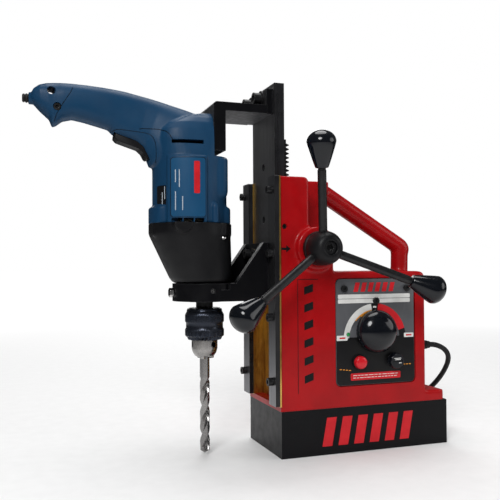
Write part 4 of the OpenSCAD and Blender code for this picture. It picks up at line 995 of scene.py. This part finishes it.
def control_panel():
    x0, x1, z0, z1 = PANEL_LO.x, PANEL_HI.x, PANEL_LO.z, PANEL_HI.z
    base = single("panel_plate", None, PANEL_GREY, SMOOTH, prism,
                  rounded(rect(x0, x1, z0, z1), 6, 8), PANEL_FACE, PANEL_HI.y)
    panel_holes(base, (4.0, 8.0, 6.6, 2.1), 1.7, (40, 24))
    edge = base.modifiers.new("bevel", "BEVEL")
    edge.width, edge.segments, edge.limit_method, edge.angle_limit = 0.25 * MM, 2, "ANGLE", math.radians(50)
    edge.use_clamp_overlap = False
    apply(base)
    dressed(base, "stand", PANEL_GREY, 40)
    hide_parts("control_panel")
    waist = PANEL.z - 6
    corners = [(x0 + 0.4, z0 + 0.4), (x1 - 0.4, z0 + 0.4), (x1 - 0.4, waist + 0.01), (x0 + 0.4, waist)]
    lower = [(x0 + 0.4, waist)] + rounded(corners, [5.6, 5.6, 0, 0], 8)[:-1]
    plate("panel_lower_field", [lower], 0, PANEL_BLACK)
    stripes = [rounded(rect(x0 + 2.5, x1 - 5, z, z + 4.5), 1.2) for z in (PANEL.z + 30.8, PANEL.z + 35.8)]
    plate("panel_stripes", stripes, 0, PRINT_WHITE)
    dial = (KNOB.x, KNOB.z - 8)
    plate("scale_off", [arc_band(31.5, 38, 97, 178, dial)], 0, PRINT_WHITE)
    plate("scale_low", [arc_band(30.2, 31.5, 97, 140, dial), arc_band(29.2, 30.2, 97, 125, dial)], 0,
          PRINT_ORANGE)
    plate("scale_full", [arc_band(30.2, 38, 16, 84, dial)], 0, PRINT_RED)
    plate("scale_marks", [arc_band(30.2, 38, 3, 16, dial, 6), arc_band(30.2, 38, 84, 97, dial, 6)], 0,
          PRINT_BLACK)
    plate("scale_notch", [arc_band(33.4, 35.2, 87, 94, dial, 4)], 0.16, PRINT_WHITE, thick=THIN_FILM)
    z = PANEL.z
    left_tab = rounded([(x0 + 0.6, z - 9), (x0 + 13, z - 9), (x0 + 16, z - 3.5), (x0 + 0.6, z - 3.5)], 0.8)
    right_tab = rounded([(x1 - 13, z - 8), (x1 - 1, z - 8), (x1 - 1, z - 3.2), (x1 - 13, z - 3.2)], 0.8)
    plate("scale_tabs", [left_tab, right_tab], 0.16, PRINT_WHITE, thick=THIN_FILM)
    tab_bars = [rect(x0 + 4, x0 + 11, z - 7, z - 5.4), rect(x1 - 10.5, x1 - 3.5, z - 6.4, z - 4.8)]
    plate("scale_tab_bars", tab_bars, 0.23, PRINT_RED, thick=THIN_FILM)
    # a plain row of slanted bars in place of a name
    bars = [[(x, PANEL.z + 43), (x + 5.4, PANEL.z + 43), (x + 8, PANEL.z + 53), (x + 2.6, PANEL.z + 53)]
            for x in [PANEL.x - 27 + 8.6 * k for k in range(6)]]
    plate("panel_bars", bars, 0, PRINT_RED)
    plate("panel_strip", [rounded(rect(PANEL.x - 31, PANEL.x + 30, z0 + 5, z0 + 12.5), 1.2)], 0.16, PRINT_RED,
          thick=0.06)
    ticks = []
    for row in (z0 + 7.2, z0 + 9.8):
        x = PANEL.x - 28
        while x < PANEL.x + 26:
            wide = random.uniform(2.0, 5.5)
            ticks.append(rect(x, x + wide, row, row + 0.7))
            x += wide + 1.2
    plate("panel_strip_lines", ticks, 0.24, PRINT_WHITE, thick=THIN_FILM, holes=False)
    corners = [rect(x0 + 4 + k * 3.6, x0 + 6.4 + k * 3.6, z0 + 17 - k * 0.5, z0 + 17.9 - k * 0.5)
               for k in range(4)]
    corners += [rect(x1 - 18 + k * 3.6, x1 - 15.6 + k * 3.6, z0 + 19, z0 + 19.9) for k in range(4)]
    plate("panel_corner_marks", corners, 0.16, PRINT_ORANGE, thick=THIN_FILM, holes=False)


def switch_knob():
    """A large domed knob with a fluted skirt and a pointer ridge."""
    r, height = 23.4, 19.0
    back = PANEL_FACE - 0.4
    dome = [(r - 0.6, 0), (r, 0.6), (r, 4.0)]
    dome += [(r * math.cos(math.radians(a)) ** 0.8, 4 + (height - 4) * math.sin(math.radians(a)) ** 1.1)
             for a in range(6, 90, 6)]
    dome += [(0.4, height)]

    def flutes(angle, radius, t):
        if radius > r - 0.4 and 0.5 < t < 4.5:
            return radius - 0.5 * (0.5 + 0.5 * math.cos(36 * angle)) ** 3
        return radius

    bm = bmesh.new()
    lathe(bm, dome, (KNOB.x, back, KNOB.z), (0, -1, 0), 216, flutes)
    lathe(bm, [(3.0, -1), (3.0, 22)], (KNOB.x, back, KNOB.z), (0, 1, 0), 32)
    knob = made("switch_knob_finished", bm, "switch_knob", BLACK_GLOSS, 45)
    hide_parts("switch_knob")
    a = math.radians(200)
    along = Vector((math.cos(a), 0, math.sin(a)))
    start = Vector((KNOB.x, back - 3.6, KNOB.z)) + along * 22.6
    pointer = single("switch_pointer", "switch_knob", PRINT_WHITE, 50, lathe,
                     [(0.3, 0), (0.9, 0.5), (1.1, 1.4), (1.1, 4.6), (0.9, 5.6), (0.3, 6.2)],
                     start, (-along * 0.35 + Vector((0, -1, 0))).normalized(), 20)


def button_fuse_lamp():
    face = PANEL_FACE
    button = single("push_button_cap", "push_button", BUTTON_RED, 50, lathe,
                    [(6.85, -5.3), (6.85, 4.6), (6.6, 5.6), (5.9, 6.4), (4.6, 6.9), (2.4, 7.2), (0.4, 7.3)],
                    (BUTTON.x, face, BUTTON.z), (0, -1, 0), 64)
    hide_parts("push_button")
    ring = [(7.0, -8.8), (7.0, 1.3), (7.3, 1.6), (8.2, 1.6), (8.6, 1.1), (8.6, 0.02), (7.9, 0.0), (7.9, -19.9),
            (7.2, -19.9), (7.2, -8.8)]
    angles = [2 * math.pi * k / 64 for k in range(64)]
    bezel = single("push_switch_bezel", "stand", BLACK_NYLON, 40, hoop, [
        [(BUTTON.x + radius * math.cos(a), face - t, BUTTON.z + radius * math.sin(a)) for a in angles]
        for radius, t in ring])
    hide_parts("push_switch")

    def grips(angle, radius, t):
        return radius - 0.35 * (0.5 + 0.5 * math.cos(24 * angle)) if radius > 8.2 and 1.2 < t < 7 else radius

    profile = [(6.5, -30), (6.5, 0.02), (8.8, 0.0), (8.8, 1.1), (8.75, 1.3), (8.5, 6.9), (8.2, 7.4), (7.6, 7.95),
               (0.4, 8.0)]
    fuse = single("fuse_cap", None, BLACK_GLOSS, 40, lathe,
                  profile, (FUSE.x, face, FUSE.z), (0, -1, 0), 192, grips)
    take(fuse, block, (FUSE.x - 6, face - 9, FUSE.z - 0.8), (FUSE.x + 6, face - 6.8, FUSE.z + 0.8))
    dressed(fuse, "stand", BLACK_GLOSS, 40)
    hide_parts("fuse_holder")
    mark = bmesh.new()
    for k, (x0, x1, z) in enumerate(((-4.6, 4.0, 2.6), (-3.4, 3.4, 1.2), (1.0, 4.2, -2.4))):
        block(mark, (FUSE.x + x0, face - 8.06, FUSE.z + z), (FUSE.x + x1, face - 7.9, FUSE.z + z + 0.8))
    fuse_mark = made("fuse_mark", mark, "stand", PRINT_WHITE, 30)
    lamp = single("lamp_lens", "stand", LAMP_GREEN, 50, lathe,
                  [(2.95, -6.9), (2.95, -2.05), (2.0, -2.0), (2.0, 0.3), (1.7, 0.75), (1.0, 0.98), (0.2, 1.0)],
                  (LAMP.x, face, LAMP.z), (0, -1, 0), 40)
    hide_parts("indicator_lamp")


def strain_relief():
    """The tapered rubber boot where the lead leaves the box, with ribs along its flex."""
    x, y, z = BOX_RIGHT, middle("cord_gland").y, middle("cord_gland").z
    length = span("cord_gland")[1].x - x
    profile = [(4.95, -7), (4.95, 0.4), (8.3, 0.4), (8.5, 0.8), (8.5, 2.4), (8.1, 3.0)]
    t, r = 3.4, 7.0
    while t < length - 3.4:
        profile += [(r, t), (r, t + 1.7), (r - 1.0, t + 1.9), (r - 1.0, t + 2.7)]
        t += 2.8
        r -= 0.42
    profile += [(4.2, length - 1.6), (4.1, length - 0.4), (3.6, length)]
    boot = single("lead_boot", "stand", RUBBER, 40, lathe, profile, (x, y, z), (1, 0, 0), 64)
    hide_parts("cord_gland")


# ---------------------------------------------------------------- drill fittings
def curved_plate(name, x0, x1, z0, z1, radius, thick, look, corner=2.0, slot="blue_plastic", columns=20):
    """A thin rounded plate that lies on the motor housing's round side."""
    bm = bmesh.new()
    xs = [x0 + (x1 - x0) * k / columns for k in range(columns + 1)]

    def inset(x):
        near = min(x - x0, x1 - x)
        return 0.0 if near >= corner else corner - math.sqrt(max(0.0, corner ** 2 - (corner - near) ** 2))

    def face(offset):
        rows = []
        for x in xs:
            y = -math.sqrt(max(0.0, (radius + offset) ** 2 - (x - MOTOR_X) ** 2))
            d = inset(x)
            rows.append([bm.verts.new((x, y, z)) for z in (z0 + d, z1 - d)])
        return rows

    outer, inner = face(thick), face(-0.4)
    for a, b in zip(outer, outer[1:]):
        bm.faces.new((a[0], b[0], b[1], a[1]))
    for a, b in zip(inner, inner[1:]):
        bm.faces.new((a[1], b[1], b[0], a[0]))
    for end in (0, 1):
        for k in range(columns):
            quad = (outer[k][end], outer[k + 1][end], inner[k + 1][end], inner[k][end])
            bm.faces.new(quad if end else tuple(reversed(quad)))
    for k, order in ((0, 1), (columns, -1)):
        quad = (outer[k][0], outer[k][1], inner[k][1], inner[k][0])
        bm.faces.new(quad[::order])
    piece = made(name, bm, "ram", look, 25)


def drill_marks():
    left, right, low, high = label = (-212.0, -178.5, 249.4, 309.0)
    curved_plate("label_rim", left - 0.5, right + 0.5, low - 0.5, high + 0.5, LABEL_R, 0.10, PRINT_BLACK)
    curved_plate("label_field", *label, LABEL_R, 0.18, BLUE_LABEL)
    curved_plate("label_bar", -190.5, -184.5, 273, 305.5, LABEL_R, 0.26, PRINT_RED, 1.0)
    lines = ((-208.5, 284, 297), (-205, 279, 297), (-208.5, 256, 275), (-202, 256, 270))
    for k, (x, z0, z1) in enumerate(lines):
        curved_plate(f"label_line_{k + 1}", x, x + 0.8, z0, z1, LABEL_R, 0.26, PRINT_PALE, 0.3, columns=4)
    curved_plate("data_plate", -222, -215.2, 247, 282, BARREL_R, 0.3, PRINT_BLACK, 1.0)
    for k, (x, z0, z1) in enumerate(((-216.8, 268, 281), (-218.6, 253, 275), (-220.6, 250, 262))):
        curved_plate(f"data_line_{k + 1}", x, x + 0.5, z0, z1, BARREL_R, 0.38, PRINT_PALE, 0.2, columns=4)


def trigger_and_boot():
    """The pistol trigger with a hollowed finger face, and the short boot of the drill's own lead."""
    bm = bmesh.new()
    outline = rounded(TRIGGER, [1.2, 1.5, 2, 6, 4, 1.5, 1, 3, 3, 0.5, 1, 1], 5)
    layers = [(-8.6, 0.93), (-8.2, 0.97), (-7.2, 1.0), (7.2, 1.0), (8.2, 0.97), (8.6, 0.93)]
    cx, cz = -247.0, 326.0
    loft(bm, [[(cx + (x - cx) * s, y, cz + (z - cz) * s) for x, z in outline] for y, s in layers])
    trigger = made("trigger_finished", bm, "trigger", BLACK_NYLON, 45)
    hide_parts("trigger")
    profile = [(2.6, -0.0), (3.6, 0.3), (4.2, 0.9), (4.3, 2.2), (3.7, 2.5), (3.7, 3.1), (4.5, 3.4), (4.6, 4.9),
               (4.0, 5.2), (4.0, 5.8), (4.85, 6.1), (4.9, 8.0), (4.95, 15.9)]
    boot = single("drill_lead_boot", "ram", RUBBER, 40, lathe, profile, (-354, 0, 366.5), (1, 0, 0), 48)
    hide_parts("cable_boot")


# ---------------------------------------------------------------- plain marks on the stand
def stand_marks():
    """Plain bars and an arrow where the stand is painted: no lettering."""
    side = -FRONT - 0.12
    bm = bmesh.new()
    for k in range(6):                                     # ladder of slanted bars down the column
        z = 76 + 18.6 * k
        prism(bm, [(-73.6, z), (-63.4, z + 3.4), (-63.4, z + 11.4), (-73.6, z + 8)], side, -FRONT + 0.3)
    left, right, low, high = -81.2, -57.6, 66.0, 185.4
    prism(bm, rect(left, left + 0.6, low, high), side, -FRONT + 0.3)
    prism(bm, rect(left + 0.6, right, high - 0.6, high), side, -FRONT + 0.3)
    arrow = [(-99, 216), (-93.6, 216), (-93.6, 213.4), (-88.6, 217.2), (-93.6, 221), (-93.6, 218.4),
             (-99, 218.4)]
    prism(bm, arrow, side, -FRONT + 0.3)
    black = made("column_marks", bm, "stand", PRINT_BLACK, 30)
    base = BASE_LO.y - 0.12
    bm = bmesh.new()
    for k in range(6):                                     # slanted bars along the magnet
        x = -54 + 18.6 * k
        prism(bm, [(x, 9), (x + 11.4, 9), (x + 17, 39), (x + 5.6, 39)], base, BASE_LO.y + 0.3)
    red = made("magnet_bars", bm, "stand", PRINT_RED, 30)


# ---------------------------------------------------------------- what keeps its CAD shape, its edges broken
FINISHES = {
    "magnet_core": (BASE_BLACK, 1.2), "rear_cover": (RED, 0.5), "rear_cover_screws": (OXIDE, 0.25),
    "panel_screws": (OXIDE, 0.3), "keeper_near": (KEEPER_STEEL, 0.6), "keeper_far": (KEEPER_STEEL, 0.6),
    "keeper_screws": (OXIDE, 0.35), "gib_lock_screw": (OXIDE, 0.15), "base_bolts": (OXIDE, 0.45),
    "hub_screw": (OXIDE, 0.4), "slide_plate": (SLIDE_STEEL, 0.5),
    "gear_rack": (OXIDE, 0.2), "rack_screws": (OXIDE, 0.3), "collar_bracket": (BRACKET_BLACK, 1.0),
    "bracket_screws": (OXIDE, 0.4), "clamp_screws": (BRIGHT_STEEL, 0.3), "top_bracket": (BRACKET_BLACK, 0.9),
    "top_bracket_bolts": (OXIDE, 0.4), "steady_bolt": (OXIDE, 0.4), "housing_screws": (OXIDE, 0.25),
    "chuck_body": (CHROME, 0.3), "gib_strips": (BRASS, 0.15), "channel_liners": (BRASS, 0.15),
}
PLAIN = {
    "magnet_coil": COPPER, "coil_potting": RESIN, "power_switch": CREAM, "pinion_bushes": BRASS,
    "pinion_shaft": BRIGHT_STEEL, "gear_cover": CAST_ALLOY, "ball_bearings": BRIGHT_STEEL,
    "motor_stator": CAST_ALLOY,
    "trigger_switch": BLACK_NYLON, "armature": COPPER, "cooling_fan": CREAM, "spindle": OXIDE,
    "spindle_gear": BRIGHT_STEEL, "chuck_jaw_1": CHROME, "chuck_jaw_2": CHROME, "chuck_jaw_3": CHROME,
}
BODY_OF = {node: body for body, nodes in frame["record"]["behaviour"]["bodies"].items() for node in nodes}


def finish_cad_nodes():
    for node, (look, width) in FINISHES.items():
        piece = bevelled(node, BODY_OF[node], look, width)
        if node in ("slide_plate", "keeper_near", "keeper_far"):
            # faces turned along Y, the sides, get the near-black steel as painted shade
            two_looks(piece, SHADED_SIDE_STEEL, lambda n, at: abs(n.y) > 0.5)
        if node == "top_bracket":
            # faces turned left (-X) get painted light from the key lamp, and faces turned down (-Z) a painted
            # reflection of the white floor
            two_looks(piece, BRACKET_PAINTED_LIGHT, lambda n, at: n.x < -0.7 or n.z < -0.7)
        if node == "chuck_body":
            two_looks(piece, SLEEVE_BLACK, lambda n, at, top=span("chuck_sleeve")[1].z - 1: at.z > top)
    for node, look in PLAIN.items():
        painted(node, look)


# ---------------------------------------------------------------- floor and light
# name, place in millimetres, width in metres, power in watts
LIGHTS = (("key", (-1000, -1400, 1300), 0.8, 26), ("fill", (1500, -900, 700), 1.2, 7),
          ("top", (0, 200, 1800), 1.2, 16), ("back", (300, 1600, 900), 1.2, 9))


def studio():
    bm = bmesh.new()
    bmesh.ops.create_circle(bm, cap_ends=True, segments=96, radius=30000)
    floor = made("floor", bm, None, FLOOR)
    world = bpy.data.worlds.new("studio")
    bpy.context.scene.world = world
    world.use_nodes = True
    tree = world.node_tree
    background = tree.nodes["Background"]
    background.inputs["Color"].default_value = (1, 1, 1, 1)
    path = tree.nodes.new("ShaderNodeLightPath")
    level = tree.nodes.new("ShaderNodeMapRange")
    level.inputs["To Min"].default_value, level.inputs["To Max"].default_value = 0.24, 0.07
    tree.links.new(path.outputs["Is Glossy Ray"], level.inputs["Value"])
    seen = tree.nodes.new("ShaderNodeMath")
    seen.operation = "MAXIMUM"
    tree.links.new(path.outputs["Is Camera Ray"], seen.inputs[0])
    tree.links.new(level.outputs["Result"], seen.inputs[1])
    tree.links.new(seen.outputs[0], background.inputs["Strength"])
    for name, place, size, power in LIGHTS:
        light = bpy.data.lights.new(name, "AREA")
        light.shape, light.size, light.energy = "DISK", size, power
        lamp = bpy.data.objects.new(name, light)
        lamp.location = Vector(place) * MM
        aim = Vector((-60, 0, 190)) * MM - lamp.location
        lamp.rotation_mode = "QUATERNION"
        lamp.rotation_quaternion = aim.to_track_quat("-Z", "Y")
        bpy.context.scene.collection.objects.link(lamp)
    bpy.context.scene.view_settings.view_transform = "Standard"


studio()
stand_casting()
drill_housing()
gear_housing()
chuck()
drill_bit()
feed_handles()
control_panel()
switch_knob()
button_fuse_lamp()
strain_relief()
drill_marks()
trigger_and_boot()
stand_marks()
finish_cad_nodes()
